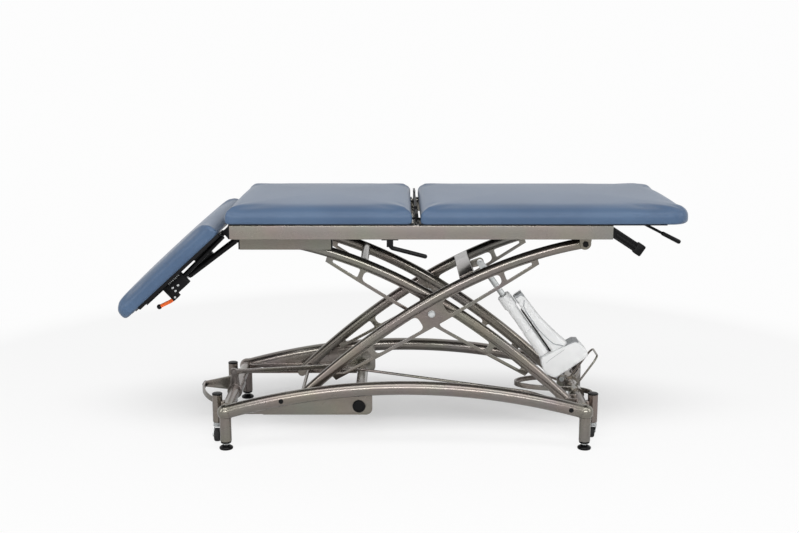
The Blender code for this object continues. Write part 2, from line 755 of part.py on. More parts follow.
def pivot_bolt(name, side):
    head_face = side * (RISING_Y + WEB_PLATE / 2.0 + RUN)
    head_end = head_face + side * 0.010
    collar_out = side * (RISING_Y - WEB_PLATE / 2.0 - RUN)
    collar_in = side * (FALLING_Y + WEB_PLATE / 2.0 + GAP)
    nut_face = side * (FALLING_Y - WEB_PLATE / 2.0 - GAP)
    nut_end = nut_face - side * 0.010
    collar_r = 0.011
    shaft_r = PIN_R
    pieces = [cross_rod(PIVOT_X, PIVOT_Z, head_end - side * 0.002, nut_end - side * 0.004, shaft_r)]
    pieces.append(cross_rod(PIVOT_X, PIVOT_Z, collar_out, collar_in, collar_r))
    pieces.append(cross_rod(PIVOT_X, PIVOT_Z, head_face, head_end, 0.0125, 6))
    pieces.append(cross_rod(PIVOT_X, PIVOT_Z, nut_face, nut_end, 0.0125, 6))
    return node(name, "zinc", pieces, origin=(PIVOT_X, side * RISING_Y, PIVOT_Z))


def inner_reach(at, radius_up):
    # Half length of a cross piece that stops on the round sides of two tubes, at a height off their centres.
    return at - math.sqrt(max(0.0, ARM_R ** 2 - radius_up ** 2)) - GAP


def rising_cross_beam():
    x, z = arm_point(BEAM_SHARE, False)
    ahead_x, ahead_z = arm_point(BEAM_SHARE + 0.01, False)
    along = Vector((ahead_x - x, 0.0, ahead_z - z)).normalized()
    up = Vector((-along.z, 0.0, along.x))
    centre = Vector((x, 0.0, z)) + up * CROSS_BEAM_LIFT
    reach = RISING_Y - ARM_R - GAP
    half_along, half_up = CROSS_BEAM[0] / 2.0, CROSS_BEAM[1] / 2.0
    corners = [centre + along * a + up * b for a, b in rectangle(half_along, half_up)]
    pieces = [prism([(p.x, p.z) for p in corners], -reach, reach)]
    head = Vector((DRIVE_HEAD[0], 0.0, DRIVE_HEAD[1]))
    ear = 0.014
    lug_half = DRIVE_EYE_HALF / 2.0
    root = centre + along * (half_along - 0.010)
    outline = [root - up * half_up * 0.8, root + up * half_up * 0.8, head + up * ear, head - up * ear]
    pieces.append(prism([(p.x, p.z) for p in outline], -lug_half, lug_half))
    pieces.append(cross_rod(head.x, head.z, -lug_half, lug_half, ear))
    return node("rising_cross_beam", "powder_coat", pieces, origin=(PIVOT_X, 0.0, PIVOT_Z))


def arm_cross_tube(name, share, mirror, at_y, radius, origin):
    x, z = arm_point(share, mirror)
    reach = at_y - ARM_R - GAP
    return node(name, "powder_coat", [cross_rod(x, z, -reach, reach, radius)], origin=origin)


# Linear drive, modelled upright on its pin and then tilted into place

DRIVE_LINE = Vector((DRIVE_HEAD[0] - DRIVE_FOOT[0], 0.0, DRIVE_HEAD[1] - DRIVE_FOOT[1]))
DRIVE_LENGTH = DRIVE_LINE.length
DRIVE_TILT = math.atan2(DRIVE_LINE.x, DRIVE_LINE.z)
DRIVE_ORIGIN = (DRIVE_FOOT[0], 0.0, DRIVE_FOOT[1])


def at_drive(made):
    # Local pieces are moved so that the pin lies on the drive's foot before the node is tilted.
    made.data.transform(Matrix.Translation(DRIVE_ORIGIN))
    return made


def drive_housing():
    back, front = -GEARBOX_BACK, GEARBOX_FRONT
    low, high = GEARBOX_START, GEARBOX_END - GEARBOX_SLOPE
    inner = MOTOR_OFFSET - MOTOR_R
    outline = [(back, low + 0.032), (back + 0.020, low), (front - 0.019, low), (front - 0.003, low + 0.008),
               (front, low + 0.025), (front - 0.007, high - 0.010), (front - 0.021, high), (inner, GEARBOX_END - 0.003),
               (back + 0.018, GEARBOX_END), (back, GEARBOX_END - 0.043)]
    pieces = [prism(outline, -GEARBOX_HALF, GEARBOX_HALF)]
    cap = 0.004
    root = high - 0.010
    can = turned([(MOTOR_R, root), (MOTOR_R, MOTOR_END - cap), (MOTOR_R - cap, MOTOR_END)], FINE)
    can.data.transform(Matrix.Translation((MOTOR_OFFSET, 0.0, 0.0)))
    pieces.append(can)
    near = inner + EMBED
    shroud = [(near, root), (SHROUD_FOOT, root), (SHROUD_FOOT, high + 0.014), SHROUD_WAIST, SHROUD_END, (near, SHROUD_END[1])]
    pieces.append(prism(shroud, -SHROUD_HALF, SHROUD_HALF))
    eye = [(-0.014, GEARBOX_START + EMBED), (-0.011, -0.006), (-0.006, -0.013), (0.006, -0.013), (0.011, -0.006),
           (0.014, GEARBOX_START + EMBED)]
    pieces.append(prism(eye, -DRIVE_EYE_HALF, DRIVE_EYE_HALF))
    hole = cross_drill(0.0, 0.0, -0.05, 0.05, DRIVE_PIN_R + RUN)
    slot = drill((0.0, 0.0, GEARBOX_END - 0.012), (0.0, 0.0, GEARBOX_END + 0.01), ROD_R + 0.002)
    return node("drive_housing", "white_plastic", [at_drive(p) for p in pieces],
                [at_drive(hole), at_drive(slot)], origin=DRIVE_ORIGIN, tilt=DRIVE_TILT)


def drive_guide():
    profile = [(GUIDE_R, GUIDE_START), (GUIDE_R, GUIDE_END - SLEEVE_LENGTH - 0.006),
               (SLEEVE_R, GUIDE_END - SLEEVE_LENGTH), (SLEEVE_R, GUIDE_END - 0.004), (SLEEVE_R - 0.004, GUIDE_END)]
    bore = drill((0.0, 0.0, GUIDE_START - THROUGH), (0.0, 0.0, GUIDE_END + THROUGH), ROD_R + RUN)
    return node("drive_guide", "white_plastic", [at_drive(turned(profile, FINE))], [at_drive(bore)],
                origin=DRIVE_ORIGIN, tilt=DRIVE_TILT)


def drive_rod():
    inner = DRIVE_EYE_HALF / 2.0 + 0.002
    outer = inner + FORK_CHEEK
    neck = DRIVE_LENGTH - 0.028
    pieces = [rod((0.0, 0.0, ROD_START), (0.0, 0.0, neck + 0.004), ROD_R)]
    pieces.append(block((-0.012, -outer, neck), (0.012, outer, neck + 0.008)))
    for side in (-1, 1):
        ends = sorted((side * inner, side * outer))
        pieces.append(block((-0.011, ends[0], neck + 0.004), (0.011, ends[1], DRIVE_LENGTH)))
        pieces.append(cross_rod(0.0, DRIVE_LENGTH, ends[0], ends[1], 0.011))
        pin = sorted((side * (inner + 0.001), side * (outer + 0.006)))
        pieces.append(cross_rod(0.0, DRIVE_LENGTH, pin[0], pin[1], 0.006, PIN))
    return node("drive_rod", "zinc", [at_drive(p) for p in pieces], origin=DRIVE_ORIGIN, tilt=DRIVE_TILT)


# Top frame

def top_frame():
    half = RAIL_WIDTH / 2.0
    pieces = []
    cuts = []
    member_top = RAIL_BOTTOM + MEMBER_HEIGHT
    reach = RAIL_Y - half + EMBED
    pieces.append(block((RAIL_LEFT, -RAIL_Y - half, RAIL_BOTTOM), (RAIL_RIGHT, -RAIL_Y + half, RAIL_TOP)))
    for x in MEMBERS:
        pieces.append(block((x - MEMBER_WIDTH / 2.0, -reach, RAIL_BOTTOM + 0.001),
                            (x + MEMBER_WIDTH / 2.0, reach, member_top)))
    pieces.append(block((RAIL_LEFT, RAIL_Y - half, RAIL_BOTTOM), (RAIL_RIGHT, RAIL_Y + half, RAIL_TOP)))
    for side in (-1, 1):
        outer = side * (FALLING_Y + ARM_R + 0.0275)
        web = outer - side * BOX_WALL
        inner = outer - side * BOX_DEPTH
        low = TOP_PIVOT_Z - BOX_HALF
        high = TOP_PIVOT_Z + BOX_HALF
        ends = sorted((outer, web))
        pieces.append(block((BOX_LEFT, ends[0], low - BOX_WALL), (BOX_RIGHT, ends[1], RAIL_BOTTOM + 0.008)))
        ends = sorted((web + side * EMBED, inner))
        for base in (low - BOX_WALL, high):
            pieces.append(block((BOX_LEFT, ends[0], base), (BOX_RIGHT, ends[1], base + BOX_WALL)))
    for side in (-1, 1):
        pin = []
        for edge in (-1, 1):
            face = side * RISING_Y + edge * (ARM_R + LUG_GAP)
            ends = sorted((face, face + edge * LUG_PLATE))
            pin += ends
            lug = [(TOP_PIVOT_X - LUG_HALF, member_top - 0.004), (TOP_PIVOT_X - LUG_HALF * 0.7, TOP_PIVOT_Z - 0.008),
                   (TOP_PIVOT_X - 0.008, TOP_PIVOT_Z - 0.018), (TOP_PIVOT_X + 0.008, TOP_PIVOT_Z - 0.018),
                   (TOP_PIVOT_X + LUG_HALF * 0.7, TOP_PIVOT_Z - 0.008), (TOP_PIVOT_X + LUG_HALF, member_top - 0.004)]
            pieces.append(prism(lug, *ends))
        pieces.append(cross_rod(TOP_PIVOT_X, TOP_PIVOT_Z, min(pin) - 0.004, max(pin) + 0.004, PIN_R))
    pieces += spring_lugs(LEG_SPRING_FOOT, 0.0, MEMBERS[2] + MEMBER_WIDTH / 2.0, member_top)
    pieces += spring_lugs(HEAD_SPRING_FOOT, HEAD_SPRING_Y, MEMBERS[0] - MEMBER_WIDTH / 2.0, member_top)
    lever_x, lever_z = FRAME_LEVER_AT
    for edge in (-1, 1):
        face = -RAIL_Y + edge * (FRAME_LEVER_HALF + RUN)
        ends = sorted((face, face + edge * 0.003))
        pieces.append(block((lever_x - 0.011, ends[0], lever_z - 0.010), (lever_x + 0.011, ends[1], RAIL_BOTTOM + 0.002)))
    pin_half = FRAME_LEVER_HALF + 0.0045
    pieces.append(cross_rod(lever_x, lever_z, -RAIL_Y - pin_half, -RAIL_Y + pin_half, 0.003, PIN))
    return node("top_frame", "powder_coat", pieces, cuts)


def spring_lugs(foot, y, member_edge, member_top):
    # Two ears with a pin for the eye of a gas spring, welded to the side of a cross member.
    x, z = foot
    root = member_edge + (0.004 if member_edge < x else -0.004) * -1.0
    half = SPRING_EYE_R
    pieces = []
    ears = []
    for edge in (-1, 1):
        face = y + edge * (SPRING_EYE_HALF + RUN)
        ends = sorted((face, face + edge * 0.004))
        ears += ends
        low = min(z - half * 0.7, member_top - 0.012)
        pieces.append(prism([(root, low), (x, z - half), (x, z + half), (root, member_top - 0.001)], *ends)
                      if root < x else
                      prism([(root, member_top - 0.001), (x, z + half), (x, z - half), (root, low)], *ends))
        pieces.append(cross_rod(x, z, ends[0], ends[1], half, PIN))
    pieces.append(cross_rod(x, z, min(ears), max(ears), SPRING_PIN_R, PIN))
    return pieces


def end_bar():
    # Slanted bar on the near rail's end, a channel with a wider block at its tip.
    half_y, half_up = END_BAR_SECTION[0] / 2.0, END_BAR_SECTION[1] / 2.0
    across = half_up * math.sin(END_BAR_TILT)
    start = RAIL_RIGHT + GAP
    mid_z = (RAIL_BOTTOM + RAIL_TOP) / 2.0 - 0.006
    along = Vector((math.cos(END_BAR_TILT), 0.0, -math.sin(END_BAR_TILT)))
    up = Vector((along.z * -1.0, 0.0, along.x))
    root = Vector((start + across, 0.0, mid_z))
    tip = root + along * END_BAR_LENGTH
    low_tip = tip - up * half_up
    high_tip = tip + up * half_up
    high_root = root.z + half_up * up.z + 2.0 * across * math.tan(END_BAR_TILT)
    bar = [(start, root.z - half_up * up.z), (low_tip.x, low_tip.z), (high_tip.x, high_tip.z), (start, high_root)]
    pieces = [prism(bar, -RAIL_Y - half_y, -RAIL_Y + half_y)]
    block_root = tip - along * 0.022
    corners = [block_root - up * (half_up + 0.003), tip + along * 0.004 - up * (half_up + 0.003),
               tip + along * 0.004 + up * (half_up + 0.003), block_root + up * (half_up + 0.003)]
    pieces.append(prism([(p.x, p.z) for p in corners], -RAIL_Y - half_y - 0.001, -RAIL_Y + half_y + 0.001))
    cuts = []
    for lift in (-0.007, 0.007):
        groove = [root + up * (lift - 0.003) + along * 0.006, tip - along * 0.026 + up * (lift - 0.003),
                  tip - along * 0.026 + up * (lift + 0.003), root + up * (lift + 0.003) + along * 0.006]
        cuts.append(prism([(p.x, p.z) for p in groove], -RAIL_Y - half_y - 0.01, -RAIL_Y - half_y + 0.004))
    return node("end_bar", "black_plastic", pieces, cuts)


def frame_lever():
    x, z = FRAME_LEVER_AT
    tip_x, tip_z = FRAME_LEVER_TIP
    half = FRAME_LEVER_HALF
    y = -RAIL_Y
    pieces = [cross_rod(x, z, y - half, y + half, 0.008)]
    knee_x, knee_z = x + FRAME_LEVER_KNEE[0], z + FRAME_LEVER_KNEE[1]
    pieces.append(sweep([(x, y, z - 0.002), (knee_x, y, knee_z), (tip_x, y, tip_z)], circle(FRAME_LEVER_R, ROUND)))
    hole = cross_drill(x, z, y - THROUGH, y + THROUGH, 0.003 + RUN, PIN)
    return node("frame_lever", "black_plastic", pieces, [hole], origin=(x, y, z))


# Pads, boards and section frames

def pad_outline(x0, x1, half, left_corner, right_corner, inset, points):
    # Rounded rectangle in plan, drawn in by an inset, with the same number of points at any inset.
    x0 += inset
    x1 -= inset
    half -= inset
    outline = []
    for centre_side, corner, start in (((1, 1), right_corner, 0), ((-1, 1), left_corner, 1),
                                       ((-1, -1), left_corner, 2), ((1, -1), right_corner, 3)):
        limit = min((x1 - x0) / 2.0, half) * 0.98
        radius = min(max(corner - inset, 0.004), limit)
        edge = x1 if centre_side[0] > 0 else x0
        cx = edge - centre_side[0] * radius
        cy = centre_side[1] * (half - radius)
        for i in range(points + 1):
            turn = (start + i / points) * math.pi / 2.0
            outline.append((cx + radius * math.cos(turn), cy + radius * math.sin(turn)))
    return outline


def pad_solid(x0, x1, bottom, left_corner, right_corner):
    # Cushion with a tucked foot, sides drawn in at mid height, a soft upper edge and a crowned top.
    top = bottom + (PAD_TOP - PAD_BOTTOM)
    bottom -= PAD_SKIRT
    half = PAD_WIDTH / 2.0
    profile = []
    for i in range(4):
        turn = math.pi / 2.0 * i / 3.0
        profile.append((PAD_FOOT * (1.0 - math.sin(turn)), bottom + PAD_FOOT * (1.0 - math.cos(turn))))
    middle = (bottom + PAD_FOOT + top - PAD_EDGE) / 2.0
    profile.append((PAD_TUCK * 0.4, middle))
    for i in range(6):
        turn = math.pi / 2.0 * i / 5.0
        profile.append((PAD_EDGE * (1.0 - math.cos(turn)), top - PAD_EDGE * (1.0 - math.sin(turn))))
    inner = min(half, (x1 - x0) / 2.0) - PAD_HEART
    for i in range(1, 8):
        share = i / 7.0
        inset = PAD_EDGE + (inner - PAD_EDGE) * share
        profile.append((inset, top + PAD_CROWN * math.sin(share * math.pi / 2.0)))
    rings = []
    for inset, height in profile:
        outline = pad_outline(x0, x1, half, left_corner, right_corner, inset, 5)
        rings.append([(x, y, height) for x, y in outline])
    return rings_to_solid(rings)


def board_pocket(x0, x1):
    # Room for the board, so that the cover hangs down beside it.
    half = PAD_WIDTH / 2.0 - BOARD_INSET + GAP
    return block((x0 - THROUGH, -half, PAD_BOTTOM - 2.0 * BOARD), (x1 + THROUGH, half, PAD_BOTTOM))


def board_solid(x0, x1, top, left_corner, right_corner):
    half = PAD_WIDTH / 2.0
    outline = pad_outline(x0, x1, half, left_corner, right_corner, BOARD_INSET, 5)
    return rings_to_solid([[(x, y, z) for x, y in outline] for z in (top - BOARD, top)])


def middle_section():
    pad = pad_solid(MID_LEFT, MID_RIGHT, PAD_BOTTOM, PAD_CORNER, PAD_CORNER)
    node("mid_pad", "vinyl", [pad], [board_pocket(MID_LEFT, MID_RIGHT)])
    top = PAD_BOTTOM - GAP
    pieces = [board_solid(HEAD_HINGE[0] + HEAD_EYE_R, MID_RIGHT, top, PAD_CORNER, PAD_CORNER)]
    cuts = []
    hinge_x, hinge_z = LEG_HINGE
    half = HINGE_PLATE / 2.0
    for side in (-1, 1):
        y = side * LEG_HINGE_Y
        foot = [(MID_RIGHT - 0.060, top - BOARD + 0.001), (hinge_x + HINGE_HALF, top - BOARD + 0.001),
                (hinge_x + HINGE_HALF, hinge_z), (hinge_x - HINGE_HALF, hinge_z), (hinge_x - HINGE_HALF, top - 0.001),
                (MID_RIGHT - 0.060, top - 0.001)]
        pieces.append(prism(foot, y - half, y + half))
        pieces.append(cross_rod(hinge_x, hinge_z, y - half, y + half, HINGE_HALF, PIN))
        cuts.append(cross_drill(hinge_x, hinge_z, y - THROUGH, y + THROUGH, HINGE_PIN_R + RUN, PIN))
    return node("mid_board", "black_steel", pieces, cuts)


def leg_section():
    hinge_x, hinge_z = LEG_HINGE
    origin = (hinge_x, 0.0, hinge_z)
    pad = pad_solid(LEG_LEFT, LEG_RIGHT, PAD_BOTTOM, PAD_CORNER, END_CORNER)
    node("leg_pad", "vinyl", [pad], [board_pocket(LEG_LEFT, LEG_RIGHT)], origin=origin)
    top = PAD_BOTTOM - GAP
    pieces = [board_solid(LEG_LEFT, LEG_RIGHT, top, PAD_CORNER, END_CORNER)]
    low = top - BOARD
    plate = 0.005
    for side in (-1, 1):
        face = side * (LEG_HINGE_Y + HINGE_PLATE / 2.0 + RUN)
        ends = sorted((face, face + side * plate))
        foot = [(hinge_x - HINGE_HALF, low + 0.001), (LEG_LEFT + 0.060, low + 0.001), (LEG_LEFT + 0.060, top - 0.001),
                (hinge_x + HINGE_HALF, top - 0.001), (hinge_x + HINGE_HALF, hinge_z), (hinge_x - HINGE_HALF, hinge_z)]
        pieces.append(prism(foot, *ends))
        pieces.append(cross_rod(hinge_x, hinge_z, ends[0], ends[1], HINGE_HALF, PIN))
        pin_end = side * (LEG_HINGE_Y - HINGE_PLATE / 2.0)
        pieces.append(cross_rod(hinge_x, hinge_z, pin_end, face + side * 0.001, HINGE_PIN_R, PIN))
        bar = sorted((side * (LEG_BAR_Y - LEG_BAR[0] / 2.0), side * (LEG_BAR_Y + LEG_BAR[0] / 2.0)))
        pieces.append(block((LEG_BAR_ENDS[0], bar[0], low - LEG_BAR[1]), (LEG_BAR_ENDS[1], bar[1], low + 0.001)))
    head_x, head_z = LEG_SPRING_HEAD
    for side in (-1, 1):
        face = side * (SPRING_EYE_HALF + 0.004)
        ends = sorted((face, face + side * 0.004))
        pieces.append(block((head_x - 0.016, ends[0], head_z - 0.010), (head_x + 0.016, ends[1], low + 0.001)))
    lever_x, lever_z = LEG_LEVER_AT
    for side in (-1, 1):
        face = LEG_LEVER_Y + side * (LEVER_R + RUN)
        ends = sorted((face, face + side * 0.004))
        pieces.append(block((lever_x - 0.010, ends[0], lever_z - 0.008), (lever_x + 0.010, ends[1], low + 0.001)))
    reach = LEVER_R + 0.005
    pieces.append(cross_rod(lever_x, lever_z, LEG_LEVER_Y - reach, LEG_LEVER_Y + reach, 0.0025, PIN))
    node("leg_frame", "black_steel", pieces, origin=origin)
    tip_x, tip_z = LEG_LEVER_TIP
    pieces = [cross_rod(lever_x, lever_z, LEG_LEVER_Y - LEVER_R, LEG_LEVER_Y + LEVER_R, 0.007, PIN)]
    pieces.append(sweep([(lever_x, LEG_LEVER_Y, lever_z), (lever_x + 0.020, LEG_LEVER_Y, lever_z - 0.010),
                         (tip_x, LEG_LEVER_Y, tip_z)], circle(LEVER_R * 0.8, 10)))
    start = Vector((lever_x + 0.020, LEG_LEVER_Y, lever_z - 0.010))
    tip = Vector((tip_x, LEG_LEVER_Y, tip_z))
    pieces.append(rod(start.lerp(tip, LEG_GRIP_SHARE), tip, LEG_GRIP_R))
    hole = cross_drill(lever_x, lever_z, LEG_LEVER_Y - THROUGH, LEG_LEVER_Y + THROUGH, 0.0025 + RUN, PIN)
    node("leg_release_lever", "black_plastic", pieces, [hole], origin=(lever_x, LEG_LEVER_Y, lever_z))


def gas_spring(prefix, foot, head, y, share):
    # Cylinder with an eye on the frame and a rod that slides in it, between two points in X and Z.
    start = Vector((foot[0], y, foot[1]))
    end = Vector((head[0], y, head[1]))
    along = (end - start).normalized()
    length = (end - start).length
    cylinder_end = start + along * length * share
    pieces = [rod(start + along * 0.018, cylinder_end, SPRING_R)]
    pieces.append(rod(start, start + along * 0.022, SPRING_EYE_HALF * 0.9, PIN))
    pieces.append(cross_rod(start.x, start.z, y - SPRING_EYE_HALF, y + SPRING_EYE_HALF, SPRING_EYE_R - 0.001))
    bore = drill(start + along * 0.045, cylinder_end + along * THROUGH, SPRING_ROD_R + RUN)
    hole = cross_drill(start.x, start.z, y - THROUGH, y + THROUGH, SPRING_PIN_R + RUN, PIN)
    node(prefix + "_spring_cylinder", "black_steel", pieces, [bore, hole], origin=start)
    rod_start = start + along * length * (share - 0.22)
    pieces = [rod(rod_start, end, SPRING_ROD_R)]
    pieces.append(cross_rod(end.x, end.z, y - SPRING_EYE_HALF, y + SPRING_EYE_HALF, SPRING_EYE_R - 0.001))
    node(prefix + "_spring_rod", "zinc", pieces, origin=start)


def head_section():
    # Built flat, to the left of its hinge, then tilted.
    hinge_x, hinge_z = HEAD_HINGE
    origin = (hinge_x, 0.0, hinge_z)
    left, right = hinge_x - HEAD_END, hinge_x - HEAD_START
    pad = pad_solid(left, right, PAD_BOTTOM, END_CORNER, PAD_CORNER)
    node("head_pad", "vinyl", [pad], [board_pocket(left, right)], origin=origin, tilt=HEAD_TILT)
    top = PAD_BOTTOM - GAP
    low = top - BOARD
    pieces = [board_solid(left, right, top, END_CORNER, PAD_CORNER)]
    cuts = []
    bar_top = low + 0.001
    bar_low = bar_top - HEAD_BAR[1]
    for side in (-1, 1):
        ends = sorted((side * (HEAD_BAR_Y - HEAD_BAR[0] / 2.0), side * (HEAD_BAR_Y + HEAD_BAR[0] / 2.0)))
        pieces.append(block((left + HEAD_BAR_END, ends[0], bar_low), (hinge_x, ends[1], bar_top)))
        pieces.append(block((hinge_x - HEAD_NECK, ends[0], hinge_z - HEAD_EYE_R * 0.6), (hinge_x, ends[1], bar_low + EMBED)))
        pieces.append(cross_rod(hinge_x, hinge_z, ends[0], ends[1], HEAD_EYE_R))
        cuts.append(cross_drill(hinge_x, hinge_z, side * (HEAD_BAR_Y - 0.03), side * (HEAD_BAR_Y + 0.03), HEAD_SHAFT_R + RUN))
        strut_y = side * (HEAD_BAR_Y - STRUT_INSET)
        pieces.append(sweep([(hinge_x - STRUT_START[0], strut_y, hinge_z + STRUT_START[1]),
                             (hinge_x - STRUT_END[0], strut_y, hinge_z + STRUT_END[1])], circle(STRUT_R, ROUND)))
        ends = sorted((side * HEAD_BAR_Y, side * (HEAD_BAR_Y - HEAD_BRACKET_WIDTH)))
        pieces.append(block((hinge_x - HEAD_BRACKET[1], ends[0], hinge_z - HEAD_BRACKET_DROP),
                            (hinge_x - HEAD_BRACKET[0], ends[1], bar_low + EMBED)))
        pieces.append(block((hinge_x - HEAD_STEP[0], ends[0], hinge_z + HEAD_STEP[1]),
                            (hinge_x - HEAD_BRACKET[1] + EMBED, ends[1], bar_low + EMBED)))
    spring_x = hinge_x - HEAD_SPRING_AT[0]
    spring_z = hinge_z + HEAD_SPRING_AT[1]
    for side in (-1, 1):
        face = HEAD_SPRING_Y + side * (SPRING_EYE_HALF + 0.003)
        ends = sorted((face, face + side * 0.004))
        pieces.append(block((spring_x - HEAD_SPRING_LUG[1], ends[0], spring_z - HEAD_SPRING_LUG[2]),
                            (spring_x + HEAD_SPRING_LUG[0], ends[1], low + EMBED)))
    lever_x = hinge_x - HEAD_LEVER_AT[0]
    lever_z = hinge_z + HEAD_LEVER_AT[1]
    lever_y = -HEAD_BAR_Y + HEAD_LEVER_INSET
    half = HEAD_LEVER_HALF
    for side in (-1, 1):
        face = lever_y + side * (half + 2.0 * RUN)
        ends = sorted((face, face + side * 0.004))
        pieces.append(block((lever_x - 0.014, ends[0], lever_z - 0.008), (lever_x + 0.014, ends[1], low + EMBED)))
    pieces.append(cross_rod(lever_x, lever_z, lever_y - 2.0 * half, lever_y + 2.0 * half, 0.003, PIN))
    node("head_frame", "black_steel", pieces, cuts, origin=origin, tilt=HEAD_TILT)
    pieces = [cross_rod(lever_x, lever_z, lever_y - half, lever_y + half, 0.008)]
    tip_x, tip_z = hinge_x - HEAD_LEVER_TIP[0], hinge_z + HEAD_LEVER_TIP[1]
    pieces.append(sweep([(lever_x, lever_y, lever_z), (lever_x - 0.020, lever_y, lever_z - 0.002),
                         (tip_x, lever_y, tip_z)], rectangle(half * 0.9, HEAD_LEVER_WIDTH)))
    pieces.append(ball((tip_x, lever_y, tip_z), KNOB_R, PIN))
    hole = cross_drill(lever_x, lever_z, lever_y - THROUGH, lever_y + THROUGH, 0.003 + RUN, PIN)
    made = node("head_release_lever", "orange_plastic", pieces, [hole], origin=origin, tilt=HEAD_TILT)
    return made


def head_spring_point():
    along = Vector((-math.cos(HEAD_TILT), 0.0, math.sin(HEAD_TILT)))
    up = Vector((math.sin(HEAD_TILT), 0.0, math.cos(HEAD_TILT)))
    point = Vector((HEAD_HINGE[0], 0.0, HEAD_HINGE[1])) + along * HEAD_SPRING_AT[0] + up * HEAD_SPRING_AT[1]
    return point.x, point.z


# The whole couch

SIDES = (("near", -1), ("far", 1))
ENDS = (("left", -1), ("right", 1))

for side_name, side in SIDES:
    base_beam(side_name + "_base_beam", side)
    base_track(side_name + "_base_track", side)
    for end_name, end in ENDS:
        levelling_foot(side_name + "_" + end_name + "_foot", end * LEG_X, side * LEG_Y)
        castor(side_name + "_" + end_name, end * (LEG_X + POST_OUT), side * POST_Y, end)
    low_end = arm(side_name + "_rising_arm", side * RISING_Y, False)
    high_end = arm(side_name + "_falling_arm", side * FALLING_Y, True)
    roller(side_name + "_lower_roller", low_end, side * (RISING_Y + ARM_R), side, LOWER_ROLLER_R)
    roller(side_name + "_upper_roller", high_end, side * (FALLING_Y + ARM_R), side, UPPER_ROLLER_R)
    pivot_bolt(side_name + "_pivot_bolt", side)
cross_tube("left_cross_tube", -1)
cross_tube("right_cross_tube", 1, drive_lugs() + arm_lugs())
middle_reach = LEG_Y - BEAM_R - GAP
middle_tube = cross_rod(MIDDLE_TUBE_X, MIDDLE_TUBE_Z, -middle_reach, middle_reach, MIDDLE_TUBE_R, FINE)
node("middle_cross_tube", "powder_coat", [middle_tube])
left_crank()
right_crank()
pedal_link()
rising_cross_beam()
arm_cross_tube("rising_tie_tube", TIE_SHARE, False, RISING_Y, TIE_R, (PIVOT_X, 0.0, PIVOT_Z))
arm_cross_tube("falling_cross_tube", FALLING_TUBE_SHARE, True, FALLING_Y, FALLING_TUBE_R, (LOWER_PIVOT_X, 0.0, AXLE_Z))
drive_housing()
drive_guide()
drive_rod()
top_frame()
frame_lever()
end_bar()
shaft_reach = RAIL_Y - RAIL_WIDTH / 2.0 - GAP
shaft = cross_rod(HEAD_HINGE[0], HEAD_HINGE[1], -shaft_reach, shaft_reach, HEAD_SHAFT_R)
node("head_hinge_shaft", "zinc", [shaft])
middle_section()
leg_section()
head_section()
gas_spring("leg", LEG_SPRING_FOOT, LEG_SPRING_HEAD, 0.0, 0.52)
gas_spring("head", HEAD_SPRING_FOOT, head_spring_point(), HEAD_SPRING_Y, 0.56)
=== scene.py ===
import json
import math

import bmesh
import bpy
from mathutils import Matrix, Vector


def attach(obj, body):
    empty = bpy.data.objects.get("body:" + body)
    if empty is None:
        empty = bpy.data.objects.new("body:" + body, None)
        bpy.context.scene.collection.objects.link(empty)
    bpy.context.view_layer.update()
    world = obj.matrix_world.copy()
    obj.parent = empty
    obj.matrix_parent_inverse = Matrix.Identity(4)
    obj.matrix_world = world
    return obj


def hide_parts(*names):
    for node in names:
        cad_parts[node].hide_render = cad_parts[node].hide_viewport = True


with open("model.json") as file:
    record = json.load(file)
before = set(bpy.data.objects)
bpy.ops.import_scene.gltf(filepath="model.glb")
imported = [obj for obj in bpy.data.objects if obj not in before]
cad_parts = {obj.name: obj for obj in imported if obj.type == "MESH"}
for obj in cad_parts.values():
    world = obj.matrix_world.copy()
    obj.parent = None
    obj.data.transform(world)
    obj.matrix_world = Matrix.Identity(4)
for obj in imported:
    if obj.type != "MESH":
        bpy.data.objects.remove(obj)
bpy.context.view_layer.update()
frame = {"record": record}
bodyOf = {node: body for body, nodes in frame["record"]["behaviour"]["bodies"].items() for node in nodes}
print("couch frame loaded:", len(bodyOf), "nodes")


# colour and material tools

def hexLinear(code):
    channels = [int(code[i:i + 2], 16) / 255.0 for i in (1, 3, 5)]
    linear = [c / 12.92 if c <= 0.04045 else ((c + 0.055) / 1.055) ** 2.4 for c in channels]
    return (*linear, 1.0)


def addNode(tree, kind, settings=None, inputs=None, links=None):
    made = tree.nodes.new(kind)
    for key, value in (settings or {}).items():
        setattr(made, key, value)
    for key, value in (inputs or {}).items():
        made.inputs[key].default_value = value
    for key, source in (links or {}).items():
        tree.links.new(source, made.inputs[key])
    return made


def freshMaterial(name):
    made = bpy.data.materials.new(name)
    made.use_nodes = True
    tree = made.node_tree
    shader = tree.nodes["Principled BSDF"]
    place = addNode(tree, "ShaderNodeTexCoord").outputs["Object"]
    return made, tree, shader, place


def perMetre(millimetres):
    return 1000.0 / millimetres     # texture scale for a feature of that size


def noise(tree, place, millimetres, detail, **more):
    inputs = {"Scale": perMetre(millimetres), "Detail": detail, **more}
    return addNode(tree, "ShaderNodeTexNoise", inputs=inputs, links={"Vector": place}).outputs


def ramp(tree, source, dark, light, stops=(0.0, 1.0)):
    made = addNode(tree, "ShaderNodeValToRGB", links={"Fac": source})
    for element, stop, code in zip(made.color_ramp.elements, stops, (dark, light)):
        element.position = stop
        element.color = hexLinear(code)
    return made.outputs["Color"]


def spread(tree, source, low, high, settings=None, **more):
    inputs = {"To Min": low, "To Max": high, **more}
    return addNode(tree, "ShaderNodeMapRange", settings, inputs, {"Value": source}).outputs["Result"]


def relief(tree, source, strength, depth):
    inputs = {"Strength": strength, "Distance": depth}
    return addNode(tree, "ShaderNodeBump", inputs=inputs, links={"Height": source}).outputs["Normal"]


